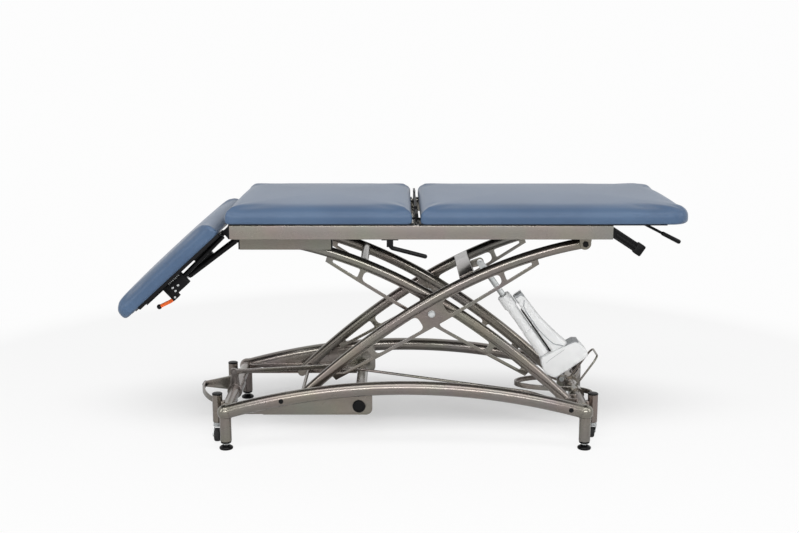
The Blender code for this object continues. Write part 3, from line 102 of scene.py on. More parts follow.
def wire(tree, shader, links, values):
    for socket, source in links.items():
        tree.links.new(source, shader.inputs[socket])
    for socket, value in values.items():
        shader.inputs[socket].default_value = value


def metallicPowderCoat(name, dark, light):
    # titanium powder coat baked on steel tube: warm grey flake, satin gloss, faint orange peel
    made, tree, shader, place = freshMaterial(name)
    peel = noise(tree, place, 3.0, 2.0)
    # real flake is 0.05 mm, drawn coarser to show
    flake = addNode(tree, "ShaderNodeTexVoronoi", inputs={"Scale": perMetre(1.6)}, links={"Vector": place})
    dust = noise(tree, place, 140.0, 3.0)
    tone = ramp(tree, flake.outputs["Color"], dark, light)
    blend = addNode(tree, "ShaderNodeMix", {"data_type": "RGBA", "blend_type": "MULTIPLY"}, {"Factor": 0.25},
                    {"A": tone, "B": dust["Color"]})
    wire(tree, shader, {"Base Color": blend.outputs["Result"],
                        "Roughness": spread(tree, dust["Fac"], 0.24, 0.30),
                        "Normal": relief(tree, peel["Fac"], 0.010, 0.0006)},
         {"Metallic": 0.9, "Coat Weight": 0.35, "Coat Roughness": 0.08})
    return made


def blackPowderCoat():
    # satin black powder coat on bar steel, fine grained
    made, tree, shader, place = freshMaterial("blackPowderCoat")
    grain = noise(tree, place, 1.8, 3.0)["Fac"]
    wire(tree, shader, {"Base Color": ramp(tree, grain, "#08080a", "#101012"),
                        "Roughness": spread(tree, grain, 0.36, 0.5),
                        "Normal": relief(tree, grain, 0.12, 0.0005)}, {"Specular IOR Level": 0.14})
    return made


def mouldedNylon(name, dark, light, low, high, shine=0.3):
    # injection-moulded polyamide or ABS: spark-eroded grain, soft sheen
    made, tree, shader, place = freshMaterial(name)
    grain = noise(tree, place, 1.2, 4.0, Roughness=0.6)["Fac"]
    cloud = noise(tree, place, 60.0, 2.0)["Fac"]
    wire(tree, shader, {"Base Color": ramp(tree, cloud, dark, light, (0.3, 0.7)),
                        "Roughness": spread(tree, grain, low, high),
                        "Normal": relief(tree, grain, 0.1, 0.0004)}, {"Specular IOR Level": shine})
    return made


def zincPlate():
    # bright zinc on turned steel: cloudy silver
    made, tree, shader, place = freshMaterial("zincPlate")
    cloud = noise(tree, place, 12.0, 5.0)["Fac"]
    wire(tree, shader, {"Base Color": ramp(tree, cloud, "#a3a6a8", "#d5d7d6"),
                        "Roughness": spread(tree, cloud, 0.28, 0.46)}, {"Metallic": 1.0})
    return made


def coatedVinyl():
    # PVC-coated upholstery cloth: calendered leather grain, satin
    made, tree, shader, place = freshMaterial("coatedVinyl")
    # real grain is about 1 mm, drawn twice as coarse to show
    grain = addNode(tree, "ShaderNodeTexVoronoi", {"feature": "DISTANCE_TO_EDGE"},
                    {"Scale": perMetre(2.2), "Randomness": 1.0}, {"Vector": place})
    pores = noise(tree, place, 1.4, 3.0)["Fac"]
    cloud = noise(tree, place, 220.0, 2.0)["Fac"]
    crease = spread(tree, grain.outputs["Distance"], 0.0, 1.0, **{"From Max": 0.12})
    height = addNode(tree, "ShaderNodeMath", {"operation": "MULTIPLY_ADD"}, {1: 0.5}, {0: pores, 2: crease})
    wire(tree, shader, {"Base Color": ramp(tree, cloud, "#3f546f", "#485e79", (0.3, 0.75)),
                        "Roughness": spread(tree, pores, 0.34, 0.42),
                        "Normal": relief(tree, height.outputs[0], 0.16, 0.0004)},
         {"Specular IOR Level": 0.32, "Sheen Weight": 0.12, "Sheen Roughness": 0.4})
    return made


finishes = {"powder": metallicPowderCoat("metallicPowderCoat", "#746e67", "#827c75"),
            # lighter copy of the powder coat for the rails: partly their brushed finish, partly painted light
            # where their flat faces catch the bright floor
            "railPowderWithPaintedLight": metallicPowderCoat("railPowderCoatWithPaintedLight", "#87817a", "#968f88"),
            "blackSteel": blackPowderCoat(),
            "blackNylon": mouldedNylon("blackNylon", "#060607", "#0d0d0e", 0.26, 0.38, 0.14),
            "whiteAbs": mouldedNylon("whiteAbs", "#eceded", "#f3f4f4", 0.32, 0.42),
            "greyAbs": mouldedNylon("greyAbs", "#9fa2a5", "#b0b3b5", 0.38, 0.5),
            "orangeAbs": mouldedNylon("orangeAbs", "#d9541a", "#ec6a26", 0.3, 0.45),
            "rubber": mouldedNylon("tyreRubber", "#1b1b1c", "#29292a", 0.6, 0.78),
            "zinc": zincPlate(),
            "vinyl": coatedVinyl()}
print("finishes mixed:", len(finishes))


# mesh tools: each returns a bmesh, and makePiece joins them into one named object

def ringsMesh(rings):
    bm = bmesh.new()
    loops = [[bm.verts.new(p) for p in ring] for ring in rings]
    count = len(loops[0])
    for low, high in zip(loops, loops[1:]):
        for i in range(count):
            j = (i + 1) % count
            bm.faces.new((low[i], low[j], high[j], high[i]))
    bm.faces.new(loops[0][::-1])
    bm.faces.new(loops[-1])
    bmesh.ops.recalc_face_normals(bm, faces=bm.faces)
    return bm


def arc(x, z, radius, first, last, steps):
    turns = [first + (last - first) * i / steps for i in range(steps + 1)]
    return [(x + radius * math.cos(t), z + radius * math.sin(t)) for t in turns]


def circleProfile(radius, sides):
    return arc(0.0, 0.0, radius, 0.0, 2 * math.pi, sides)[:-1]


def roundedRectangle(halfA, halfB, radius, steps=4):
    points = []
    for quarter, (a, b) in enumerate(((1, 1), (-1, 1), (-1, -1), (1, -1))):
        first = quarter * math.pi / 2
        points += arc(a * (halfA - radius), b * (halfB - radius), radius, first, first + math.pi / 2, steps)
    return points


def sweepMesh(path, profile):
    path = [Vector(p) for p in path]
    rings = []
    last = len(path) - 1
    for i, point in enumerate(path):
        along = (path[min(i + 1, last)] - path[max(i - 1, 0)]).normalized()
        up = Vector((1, 0, 0)) if abs(along.z) > 0.95 else Vector((0, 0, 1))
        side = along.cross(up).normalized()
        up = side.cross(along)
        rings.append([point + side * a + up * b for a, b in profile])
    return ringsMesh(rings)


def tubeMesh(path, radius, sides=36):
    return sweepMesh(path, circleProfile(radius, sides))


def smoothPath(points, steps=8):
    points = [Vector(p) for p in points]
    ends = [points[0] * 2 - points[1]] + points + [points[-1] * 2 - points[-2]]
    path = []
    for a, b, c, d in zip(ends, ends[1:], ends[2:], ends[3:]):
        for i in range(steps):
            t = i / steps
            square, cube = 2 * a - 5 * b + 4 * c - d, 3 * b - a - 3 * c + d
            path.append(0.5 * (2 * b + (c - a) * t + square * t * t + cube * t ** 3))
    return path + [points[-1]]


def bendPoints(a, b, c, radius, share, steps):
    reach = min(radius, (a - b).length * share, (c - b).length * share)
    start, end = b + (a - b).normalized() * reach, b + (c - b).normalized() * reach
    turns = [i / steps for i in range(steps + 1)]
    return [start * (1 - t) ** 2 + b * 2 * t * (1 - t) + end * t * t for t in turns]


def filletPath(points, radius, steps=6):
    points = [Vector(p) for p in points]
    path = [points[0]]
    for a, b, c in zip(points, points[1:], points[2:]):
        path += bendPoints(a, b, c, radius, 0.48, steps)
    return path + [points[-1]]


def roundCorners(points, radius, steps=5):
    points = [Vector(p) for p in points]
    rounded = []
    for i, b in enumerate(points):
        rounded += bendPoints(points[i - 1], b, points[(i + 1) % len(points)], radius, 0.45, steps)
    return [(p.x, p.y) for p in rounded]


def axes(axis):
    axis = Vector(axis).normalized()
    side = axis.orthogonal().normalized()
    return axis, side, axis.cross(side)


def latheMesh(profile, origin, axis=(0, 0, 1), sides=40):
    axis, side, other = axes(axis)
    origin = Vector(origin)
    rings = []
    for r, h in profile:
        circle = circleProfile(max(r, 1e-5), sides)
        rings.append([origin + axis * h + side * a + other * b for a, b in circle])
    return ringsMesh(rings)


def acrossMesh(profile, x, z, sides=40):
    return latheMesh(profile, (x, 0, z), (0, 1, 0), sides)


def discMesh(x, z, y0, y1, radius, edge=0.0008, sides=40):
    s = math.copysign(edge, y1 - y0)
    profile = [(radius - edge, y0), (radius, y0 + s), (radius, y1 - s), (radius - edge, y1)]
    return acrossMesh(profile, x, z, sides)


def bushMesh(x, z, y, half, bore, radius, edge=0.0005, sides=40, closed=True):
    profile = [(bore, y - half), (radius - edge, y - half), (radius, y - half + edge),
               (radius, y + half - edge), (radius - edge, y + half), (bore, y + half)]
    return acrossMesh(profile + profile[:1] if closed else profile, x, z, sides)


def boxMesh(corner, opposite, edge=0.0012, segments=3):
    low = Vector(min(pair) for pair in zip(corner, opposite))
    high = Vector(max(pair) for pair in zip(corner, opposite))
    size = high - low
    bm = bmesh.new()
    bmesh.ops.create_cube(bm, size=1.0)
    bmesh.ops.scale(bm, vec=size, verts=bm.verts)
    bmesh.ops.translate(bm, vec=(high + low) / 2, verts=bm.verts)
    edge = min(edge, min(size) * 0.45)
    bmesh.ops.bevel(bm, geom=bm.edges[:], offset=edge, segments=segments, profile=0.5, affect="EDGES")
    return bm


def slabMesh(outline, y0, y1, edge=0.0006, holes=()):
    # plate cut from an outline in X and Z, its holes left open, with a broken edge
    data = bpy.data.curves.new("slab", "CURVE")
    data.dimensions = "2D"
    data.fill_mode = "BOTH"
    data.extrude = abs(y1 - y0) / 2 - edge
    data.bevel_depth = edge
    data.bevel_resolution = 1
    for loop in [outline] + list(holes):
        spline = data.splines.new("POLY")
        spline.points.add(len(loop) - 1)
        for point, (x, z) in zip(spline.points, loop):
            point.co = (x, z, 0, 1)
        spline.use_cyclic_u = True
    holder = bpy.data.objects.new("slab", data)
    bpy.context.scene.collection.objects.link(holder)
    flat = bpy.data.meshes.new_from_object(holder.evaluated_get(bpy.context.evaluated_depsgraph_get()))
    bm = bmesh.new()
    bm.from_mesh(flat)
    bmesh.ops.remove_doubles(bm, verts=bm.verts, dist=1e-6)
    stand = Matrix.Translation((0, (y0 + y1) / 2, 0)) @ Matrix.Rotation(math.pi / 2, 4, "X")
    bmesh.ops.transform(bm, verts=bm.verts, matrix=stand)
    bpy.data.objects.remove(holder)
    bpy.data.curves.remove(data)
    bpy.data.meshes.remove(flat)
    bmesh.ops.recalc_face_normals(bm, faces=bm.faces)
    return bm


def ringOutline(x, z, radius, sides=40):
    return [(x + a, z + b) for a, b in circleProfile(radius, sides)]


def weldMesh(centre, axis, radius, bead):
    # ripple of a hand-laid weld round a tube
    axis, side, other = axes(axis)
    turns, around, ripples = 72, 8, 24
    bm = bmesh.new()
    loops = []
    for i in range(turns):
        angle = 2 * math.pi * i / turns
        out = side * math.cos(angle) + other * math.sin(angle)
        swell = bead * (1.0 + 0.22 * math.sin(angle * ripples))
        loops.append([bm.verts.new(Vector(centre) + out * (radius + a) + axis * 1.4 * b)
                      for a, b in circleProfile(swell, around)])
    for i in range(turns):
        a, b = loops[i], loops[(i + 1) % turns]
        for k in range(around):
            j = (k + 1) % around
            bm.faces.new((a[k], b[k], b[j], a[j]))
    bmesh.ops.recalc_face_normals(bm, faces=bm.faces)
    return bm


def hexMesh(centre, axis, across, height, chamfer=0.0012):
    axis, side, other = axes(axis)
    rings = []
    for shrink, h in ((0.94, 0.0), (1.0, chamfer), (1.0, height - chamfer), (0.9, height)):
        corners = circleProfile(across / math.sqrt(3), 6)
        rings.append([Vector(centre) + axis * h + (side * a + other * b) * shrink for a, b in corners])
    return ringsMesh(rings)


def ballMesh(centre, radius, sides):
    bm = bmesh.new()
    bmesh.ops.create_uvsphere(bm, u_segments=sides, v_segments=sides // 2, radius=radius)
    bmesh.ops.translate(bm, vec=centre, verts=bm.verts)
    return bm


def joinMesh(name, parts, sharp=38.0):
    names = []
    whole = bmesh.new()
    for bm, finish in parts:
        if finish not in names:
            names.append(finish)
        for face in bm.faces:
            face.material_index = names.index(finish)
            face.smooth = True
        step = bpy.data.meshes.new("step")
        bm.to_mesh(step)
        bm.free()
        whole.from_mesh(step)
        bpy.data.meshes.remove(step)
    data = bpy.data.meshes.new(name)
    whole.to_mesh(data)
    whole.free()
    for finish in names:
        data.materials.append(finishes[finish])
    data.set_sharp_from_angle(angle=math.radians(sharp))
    made = bpy.data.objects.new(name, data)
    bpy.context.scene.collection.objects.link(made)
    return made


def dress(made, node):
    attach(made, bodyOf[node])
    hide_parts(node)


def add(parts, finish, *meshes):
    parts.extend((mesh, finish) for mesh in meshes)


def makePiece(name, node, parts, matrix=None):
    if matrix is not None:
        for bm, finish in parts:
            bmesh.ops.transform(bm, matrix=matrix, verts=bm.verts)
    dress(joinMesh(name, parts), node)


sides = (("near", -1), ("far", 1))
ends = (("left", -1), ("right", 1))
play = 0.0006       # slack of a pin in its bore
gap = 0.0003        # clear space between faces that meet

# base: two arched beams on ball elbows and short legs
base = {"legX": 0.628, "legY": 0.283, "legRadius": 0.020, "legBottom": 0.028, "axleZ": 0.134,
        "beamRadius": 0.024, "rise": 0.088, "elbow": 0.0275, "collar": 0.036, "crossRadius": 0.020,
        "plugs": (-0.43, 0.575), "plugRadius": 0.0085, "legWeld": 0.0195, "beamWeld": 0.0150}
axleZ = base["axleZ"]


def beamPoint(share):
    return base["legX"] * (2 * share - 1), axleZ + base["rise"] * 4 * share * (1 - share)


def beamHeight(x):
    return beamPoint((x / base["legX"] + 1) / 2)[1]


for sideName, side in sides:
    y = side * base["legY"]
    collarY = y - side * base["collar"]
    path = [(x, y, z) for x, z in (beamPoint(i / 72) for i in range(73))]
    slope = Vector((path[3][0] - path[0][0], 0, path[3][2] - path[0][2])).normalized()
    leg, cross, low = base["legRadius"], base["crossRadius"], base["legBottom"]
    parts = []
    add(parts, "powder", tubeMesh(path, base["beamRadius"], 44))
    for end in (-1, 1):
        x = end * base["legX"]
        into = Vector((-end * slope.x, 0, slope.z))
        add(parts, "powder", ballMesh((x, y, axleZ), base["elbow"], 40),
            latheMesh([(leg - 0.003, low), (leg, low + 0.002), (leg, axleZ)], (x, y, 0)),
            weldMesh((x, y, axleZ - base["legWeld"]), (0, 0, 1), leg, 0.0018),
            acrossMesh([(cross, y), (cross, collarY)], x, axleZ),
            weldMesh((x, collarY, axleZ), (0, 1, 0), cross, 0.0018),
            weldMesh(Vector((x, y, axleZ)) + into * base["beamWeld"], into, base["beamRadius"], 0.0014))
    for x in base["plugs"]:
        face, r = y + side * base["beamRadius"], base["plugRadius"]
        cap = [(r, face - side * 0.004), (r, face + side * 0.0004), (r * 0.8, face + side * 0.0014),
               (r * 0.25, face + side * 0.0018)]
        add(parts, "blackNylon", acrossMesh(cap, x, beamHeight(x)))
    makePiece(sideName + "Beam", sideName + "_base_beam", parts)

# levelling feet: nylon pad, zinc stud and lock nut
foot = {"radius": 0.024, "height": 0.014, "stud": 0.006, "nut": 0.019, "nutHeight": 0.006, "insert": 0.0185,
        "threads": 26, "pitch": 0.0006}
for sideName, side in sides:
    for endName, end in ends:
        x, y = end * base["legX"], side * base["legY"]
        r, h, insert = foot["radius"], foot["height"], foot["insert"]
        legEnd = base["legBottom"] - 0.0004
        tread = [(r - 0.003, 0), (r - 0.0008, 0.0008), (r, 0.003), (r, h * 0.42), (r - 0.0015, h * 0.55),
                 (r * 0.72, h * 0.8), (r * 0.5, h), (foot["stud"], h)]
        thread = []
        for k in range(foot["threads"]):
            thread.append((foot["stud"] + (0.0004 if k % 2 else -0.0003), h - 0.001 + k * foot["pitch"]))
        parts = []
        add(parts, "blackNylon", latheMesh(tread, (x, y, 0)))
        add(parts, "zinc", latheMesh(thread, (x, y, 0)),
            hexMesh((x, y, h + 0.0012), (0, 0, 1), foot["nut"], foot["nutHeight"]))
        socket = [(insert - 0.001, legEnd - 0.005), (insert, legEnd - 0.004), (insert, legEnd)]
        add(parts, "blackNylon", latheMesh(socket, (x, y, 0)))
        makePiece(sideName + endName.capitalize() + "Foot", sideName + "_" + endName + "_foot", parts)

# castors: posts stand on the cross tubes, stems slide in them
castor = {"out": 0.041, "y": 0.193, "postRadius": 0.018, "postBottom": 0.069, "postTop": 0.170,
          "stem": 0.011, "stemTop": 0.140, "collarRadius": 0.0165, "collarHeight": 0.009, "plate": 0.005,
          "wall": 0.003, "trail": 0.020, "wheel": 0.024, "wheelWidth": 0.020, "lift": 0.002, "axle": 0.004,
          "bracketHalf": 0.012}


def crossTubeParts(end):
    x = end * base["legX"]
    reach = base["legY"] - base["collar"] - gap
    r, bore = castor["postRadius"], castor["stem"] + play
    low, top, half = castor["postBottom"], castor["postTop"], castor["bracketHalf"]
    post = [(bore, low + 0.01), (bore, low), (r - 0.0008, low), (r, low + 0.0008), (r, top - 0.0005),
            (r - 0.0012, top)]
    cap = [(r - 0.0004, top - 0.0002), (r + 0.0006, top + 0.0004), (r + 0.0006, top + 0.0024),
           (r - 0.001, top + 0.0044), (r * 0.6, top + 0.0056), (0.0, top + 0.006)]
    parts = []
    add(parts, "powder",
        acrossMesh([(base["crossRadius"], -reach), (base["crossRadius"], reach)], x, axleZ, 44))
    for side in (-1, 1):
        px, py = x + end * castor["out"], side * castor["y"]
        add(parts, "powder", latheMesh(post, (px, py, 0)))
        add(parts, "blackNylon", latheMesh(cap, (px, py, 0)))
        add(parts, "powder",
            boxMesh((x, py - r * 0.6, axleZ - half), (px, py + r * 0.6, axleZ + half), 0.003))
    return parts


def mirrored(profile, y):
    return profile + [(r, 2 * y - h) for r, h in reversed(profile)]


for sideName, side in sides:
    for endName, end in ends:
        x, y = end * (base["legX"] + castor["out"]), side * castor["y"]
        label = sideName + endName.capitalize()
        node = sideName + "_" + endName + "_castor_"
        collarTop = castor["postBottom"] - 0.002
        collarLow = collarTop - castor["collarHeight"]
        forkTop = collarLow - gap
        forkLow = forkTop - castor["plate"]
        wheelZ = castor["wheel"] + castor["lift"]
        s, c = castor["stem"], castor["collarRadius"]
        stem = [(s * 0.5, forkLow + 0.001), (s * 0.5, collarLow), (c - 0.001, collarLow),
                (c, collarLow + 0.001), (c, collarLow + 0.0035), (c - 0.002, collarLow + 0.0042),
                (c - 0.002, collarLow + 0.0052), (c, collarLow + 0.006), (c, collarTop - 0.0008),
                (c - 0.001, collarTop), (s, collarTop), (s, castor["stemTop"] - 0.002),
                (s - 0.002, castor["stemTop"])]
        makePiece(label + "Stem", node + "stem", [(latheMesh(stem, (x, y, 0)), "zinc")])

        inside = castor["wheelWidth"] / 2 + 0.0015
        outside = inside + castor["wall"]
        trail = x + castor["trail"]
        home = Matrix.Translation((x, y, 0))
        quarter = home @ Matrix.Rotation(end * math.pi / 2, 4, "Z") @ home.inverted()
        crown = [(outside + 0.002, forkLow), (outside + 0.003, forkLow + 0.001),
                 (outside + 0.003, forkTop - 0.001), (outside + 0.0015, forkTop), (s * 0.5 + play, forkTop)]
        cheek = roundCorners([(x - 0.012, forkTop - 0.001), (x + 0.010, forkTop - 0.001),
                              (trail + 0.008, wheelZ + 0.004), (trail + 0.006, wheelZ - 0.007),
                              (trail - 0.006, wheelZ - 0.007), (x - 0.010, forkLow - 0.002)], 0.004)
        parts = []
        add(parts, "zinc", latheMesh(crown, (x, y, 0)))
        for flank in (-1, 1):
            nut = (trail, y + flank * (outside - 0.0002), wheelZ)
            add(parts, "zinc", slabMesh(cheek, y + flank * inside, y + flank * outside, 0.0005),
                hexMesh(nut, (0, flank, 0), 0.010, 0.003, 0.0006))
        add(parts, "zinc", discMesh(trail, wheelZ, y - outside, y + outside, castor["axle"]))
        makePiece(label + "Fork", node + "fork", parts, quarter)

        w, half = castor["wheel"], castor["wheelWidth"] / 2
        edge = y - half
        hub = [(0.0045, edge - 0.001), (0.008, edge - 0.001), (0.0088, edge + 0.001), (w * 0.6, edge + 0.003),
               (w * 0.74, edge + 0.003)]
        rim = [(w * 0.74, edge + 0.0028), (w * 0.8, edge + 0.0006), (w * 0.88, edge),
               (w * 0.95, y - half * 0.85), (w, y - half * 0.5)]
        parts = []
        add(parts, "rubber", acrossMesh(mirrored(rim, y), trail, wheelZ, 48))
        add(parts, "blackNylon", acrossMesh(mirrored(hub, y), trail, wheelZ, 48))
        makePiece(label + "Wheel", node + "wheel", parts, quarter)

# roller tracks under the beams, with the middle tube through their ends
track = {"end": -0.116, "height": 0.035, "depth": 0.028, "back": 0.006, "wall": 0.003, "corner": 0.022,
         "taper": (-0.495, 0.012), "tubeX": -0.162, "tubeZ": 0.147, "tubeRadius": 0.020, "plug": 0.0225}
trackY = base["legY"] - base["beamRadius"] - gap
tubeX, tubeZ, tube = track["tubeX"], track["tubeZ"], track["tubeRadius"]
for sideName, side in sides:
    outer = side * trackY
    back = outer - side * track["back"]
    inner = outer - side * track["depth"]
    left, right, corner = -base["legX"] + base["crossRadius"] + gap, track["end"], track["corner"]
    low, high = axleZ - track["height"] / 2, axleZ + track["height"] / 2
    outline = [(left, axleZ + track["taper"][1]), (track["taper"][0], low)]
    outline += arc(right - corner, low + corner, corner, -math.pi / 2, 0.0, 12)
    for i in range(37):
        x = right + (left - right) * i / 36
        outline.append((x, max(high, beamHeight(x))))
    parts = []
    add(parts, "powder", slabMesh(outline, outer, back, holes=[ringOutline(tubeX, tubeZ, tube + play)]))
    for floor in (low, high - track["wall"]):
        add(parts, "powder", boxMesh((left, back + side * 0.002, floor),
                                     (tubeX - tube - 0.006, inner, floor + track["wall"]), 0.001))
    makePiece(sideName + "Track", sideName + "_base_track", parts)
parts = []
add(parts, "powder", acrossMesh([(tube, -trackY), (tube, trackY)], tubeX, tubeZ, 44))
for side in (-1, 1):
    r = track["plug"]
    plug = [(r - 0.003, -0.001), (r, 0.0004), (r, 0.0022), (r - 0.0015, 0.0036), (r - 0.005, 0.0038),
            (r - 0.006, 0.0024), (r * 0.35, 0.0024), (0.0, 0.0026)]
    add(parts, "blackNylon", acrossMesh([(a, side * trackY + side * out) for a, out in plug], tubeX, tubeZ))
makePiece("middleTube", "middle_cross_tube", parts)
makePiece("leftCrossTube", "left_cross_tube", crossTubeParts(-1))

# linear drive, stood upright on its foot pin and then tilted
drive = {"foot": (0.5815, 0.171), "head": (0.2726, 0.612), "eye": 0.012, "lug": 0.006, "pin": 0.007,
         "guide": 0.021, "guideStart": 0.1153, "guideEnd": 0.386, "sleeve": 0.0245, "sleeveLength": 0.050,
         "rod": 0.011, "rodStart": 0.235, "boxStart": 0.020, "boxEnd": 0.115, "boxBack": 0.036,
         "boxFront": 0.137, "boxHalf": 0.036, "motorRadius": 0.019, "motorOffset": 0.047, "motorEnd": 0.362,
         "cheek": 0.006, "earRadius": 0.015, "earHalf": 0.011, "earRoot": 0.008}
footX, footZ = drive["foot"]
driveLine = Vector((drive["head"][0] - footX, 0, drive["head"][1] - footZ))
driveLength = driveLine.length
driveTilt = math.atan2(driveLine.x, driveLine.z)
driveMatrix = Matrix.Translation((footX, 0, footZ)) @ Matrix.Rotation(driveTilt, 4, "Y")

# numbers of the scissor, whose falling arms turn on ears of the right cross tube
scissor = {"pivotX": 0.092, "pivotZ": 0.468, "lowX": 0.584, "topX": 0.617, "topZ": 0.720, "rise": 0.101,
           "tube": 0.019, "risingY": 0.208, "fallingY": 0.160, "web": 0.006, "webHalf": 0.36,
           "webDepth": 0.069, "webEnd": 0.017, "strip": 0.010, "hub": 0.021, "rollerHub": 0.0165,
           "lowerHub": 0.018, "lowerLug": 0.016, "pin": 0.008,
           "windows": ((-0.338, -0.240, 0.008), (-0.225, -0.064, 0.022), (0.022, 0.225, 0.022),
                       (0.240, 0.338, 0.008)),
           "axle": 0.006, "stubs": (0.0255, 0.0225), "roller": 0.0175, "lowRoller": 0.014,
           "rollerWidth": 0.016, "beamShare": 0.61, "beam": (0.052, 0.030), "beamLift": 0.006,
           "lugRadius": 0.014, "tieShare": 0.03, "tie": 0.006, "fallingTubeShare": 0.717,
           "fallingTube": 0.015, "lugGap": 0.0015, "lug": 0.006,
           "boltHead": (0.020, 0.008), "nut": (0.020, 0.010), "washer": 0.0128, "spacer": 0.011}


def earPair(parts, outline, centreY):
    # two plates that straddle an arm's tube; returns the outermost faces
    faces = []
    for edge in (-1, 1):
        face = centreY + edge * (scissor["tube"] + scissor["lugGap"])
        faces += [face, face + edge * scissor["lug"]]
        add(parts, "powder", slabMesh(outline, face, face + edge * scissor["lug"]))
    return min(faces), max(faces)


parts = crossTubeParts(1)
lugX, lugHalf = scissor["lowX"], scissor["lowerLug"]
lugRoot = base["legX"] + base["crossRadius"] * 0.5
outline = [(lugRoot, axleZ - lugHalf), (lugRoot, axleZ + lugHalf)]
outline += arc(lugX, axleZ, lugHalf, math.pi / 2, math.pi * 1.5, 14)
for side in (-1, 1):
    first, last = earPair(parts, outline, side * scissor["fallingY"])
    add(parts, "zinc", discMesh(lugX, axleZ, first - 0.002, last + 0.002, scissor["pin"]))
tip = Vector((footX, footZ))
root = Vector((base["legX"], axleZ))
along = (tip - root).normalized()
across = Vector((along.y, -along.x))
root, reach = root + along * drive["earRoot"], across * drive["earHalf"]
outline = [root - reach, root + reach, tip + reach]
outline += [tip + across * a + along * b for a, b in arc(0.0, 0.0, drive["earRadius"], 0.0, math.pi, 12)]
outline = [tuple(p) for p in outline + [tip - reach]]
inner = drive["eye"] + 0.001
outer = inner + drive["lug"]
for flank in (-1, 1):
    add(parts, "powder", slabMesh(outline, flank * inner, flank * outer))
    add(parts, "zinc",
        discMesh(footX, footZ, flank * (outer - 0.001), flank * (outer + 0.003), drive["pin"] + 0.002))
add(parts, "zinc", discMesh(footX, footZ, -inner - 0.004, inner + 0.004, drive["pin"]))
makePiece("rightCrossTube", "right_cross_tube", parts)


def softSlab(outline, half, soft, steps=5):
    # moulding of one outline in X and Z, rounded over towards both flanks
    points = [Vector(p) for p in outline]
    centre = sum(points, Vector((0, 0))) / len(points)
    inward = []
    for k, point in enumerate(points):
        run = points[(k + 1) % len(points)] - points[k - 1]
        turned = Vector((-run.y, run.x)).normalized()
        inward.append(-turned if turned.dot(centre - point) < 0 else turned)
    layers = [(soft - a, half - soft + b) for b, a in arc(0.0, 0.0, soft, 0.0, math.pi / 2, steps)]
    rings = []
    for flank, order in ((-1, layers), (1, layers[::-1])):
        for inset, y in order:
            moved = [p + n * inset for p, n in zip(points, inward)]
            rings.append([(p.x, flank * y, p.y) for p in moved])
    return ringsMesh(rings)


def loftMesh(left, rows, corner, steps):
    # rounded sections stacked upwards, each given by its right edge, half width and height
    rings = []
    for right, halfY, z in rows:
        centre, half = (left + right) / 2, (right - left) / 2
        section = roundedRectangle(half, halfY, min(corner, half * 0.9), steps)
        rings.append([(centre + a, b, z) for a, b in section])
    return ringsMesh(rings)


back, front, boxHalf = -drive["boxBack"], drive["boxFront"], drive["boxHalf"]
z0, z1, motorEnd = drive["boxStart"], drive["boxEnd"], drive["motorEnd"]
shoulder, capTop = z1 - 0.017, motorEnd - 0.002
motorLeft, motorRight = (drive["motorOffset"] + out * drive["motorRadius"] for out in (-1, 1))
gearbox = [(back, z0 + 0.032), (back + 0.020, z0), (front - 0.019, z0), (front - 0.003, z0 + 0.008),
           (front, z0 + 0.025), (front - 0.007, shoulder - 0.010), (front - 0.021, shoulder),
           (motorLeft, z1 - 0.003), (back + 0.018, z1), (back, z1 - 0.043)]
rim = [(front - 0.008, shoulder - 0.012), (front - 0.0052, shoulder - 0.011),
       (front - 0.0066, shoulder - 0.0085), (front - 0.021, shoulder + 0.0022),
       (motorRight + 0.010, shoulder + 0.006), (motorRight + 0.012, shoulder - 0.002),
       (front - 0.022, shoulder - 0.006)]
motorRows = [(0.093, shoulder - 0.010), (0.093, 0.112), (0.087, 0.133), (0.082, 0.155), (0.074, 0.195),
             (0.067, 0.238), (0.064, 0.300), (0.0625, motorEnd - 0.022), (0.060, motorEnd - 0.014),
             (0.055, motorEnd - 0.009)]
capRows = [(0.0625, 0.0215, motorEnd - 0.030), (0.0620, 0.0215, motorEnd - 0.006), (0.0605, 0.0200, capTop)]
parts = []
add(parts, "whiteAbs", softSlab(roundCorners(gearbox, 0.009), boxHalf, 0.007))
add(parts, "greyAbs", softSlab(roundCorners(rim, 0.003, 3), boxHalf - 0.0026, 0.002, 3))
add(parts, "whiteAbs", loftMesh(motorLeft, [(right, 0.024, z) for right, z in motorRows], 0.013, 8))
add(parts, "greyAbs", loftMesh(motorLeft - 0.001, capRows, 0.010, 6))
for k in range(5):
    ribX = motorLeft + 0.0075 + k * 0.0062
    add(parts, "greyAbs",
        boxMesh((ribX - 0.0011, -0.0175, capTop - 0.002), (ribX + 0.0011, 0.0175, capTop + 0.003), 0.0006))
for flank in (-1, 1):
    trim = [(0.054, 0.0236, 0.332), (0.038, 0.0236, 0.306), (0.035, 0.0230, 0.255), (0.0365, 0.0234, 0.204),
            (0.050, 0.0244, 0.137), (0.076, 0.0244, 0.104)]
    seam = [(back + 0.007, boxHalf - 0.002, z1 - 0.030), (0.000, boxHalf - 0.0002, z1 - 0.0235),
            (0.033, boxHalf - 0.0002, z1 - 0.022), (0.062, boxHalf - 0.0004, z1 - 0.0215),
            (0.090, boxHalf - 0.002, z1 - 0.0215)]
    for line, radius, around in ((trim, 0.0019, 10), (seam, 0.0009, 8)):
        path = smoothPath([(x, flank * y, z) for x, y, z in line])
        add(parts, "greyAbs", tubeMesh(path, radius, around))
add(parts, "blackNylon", boxMesh((drive["guide"] + 0.0012, -0.014, z1 - 0.004),
                                 (motorLeft + 0.004, 0.014, motorEnd - 0.060), 0.001))
eye = [(-0.014, z0 + 0.003), (-0.012, -0.004)] + arc(0.0, 0.0, 0.013, math.pi, 2 * math.pi, 12)
eye += [(0.012, -0.004), (0.014, z0 + 0.003)]
bore = ringOutline(0, 0, drive["pin"] + play)
add(parts, "greyAbs", slabMesh(eye, -drive["eye"], drive["eye"], 0.0008, [bore]))
makePiece("driveHousing", "drive_housing", parts, driveMatrix)

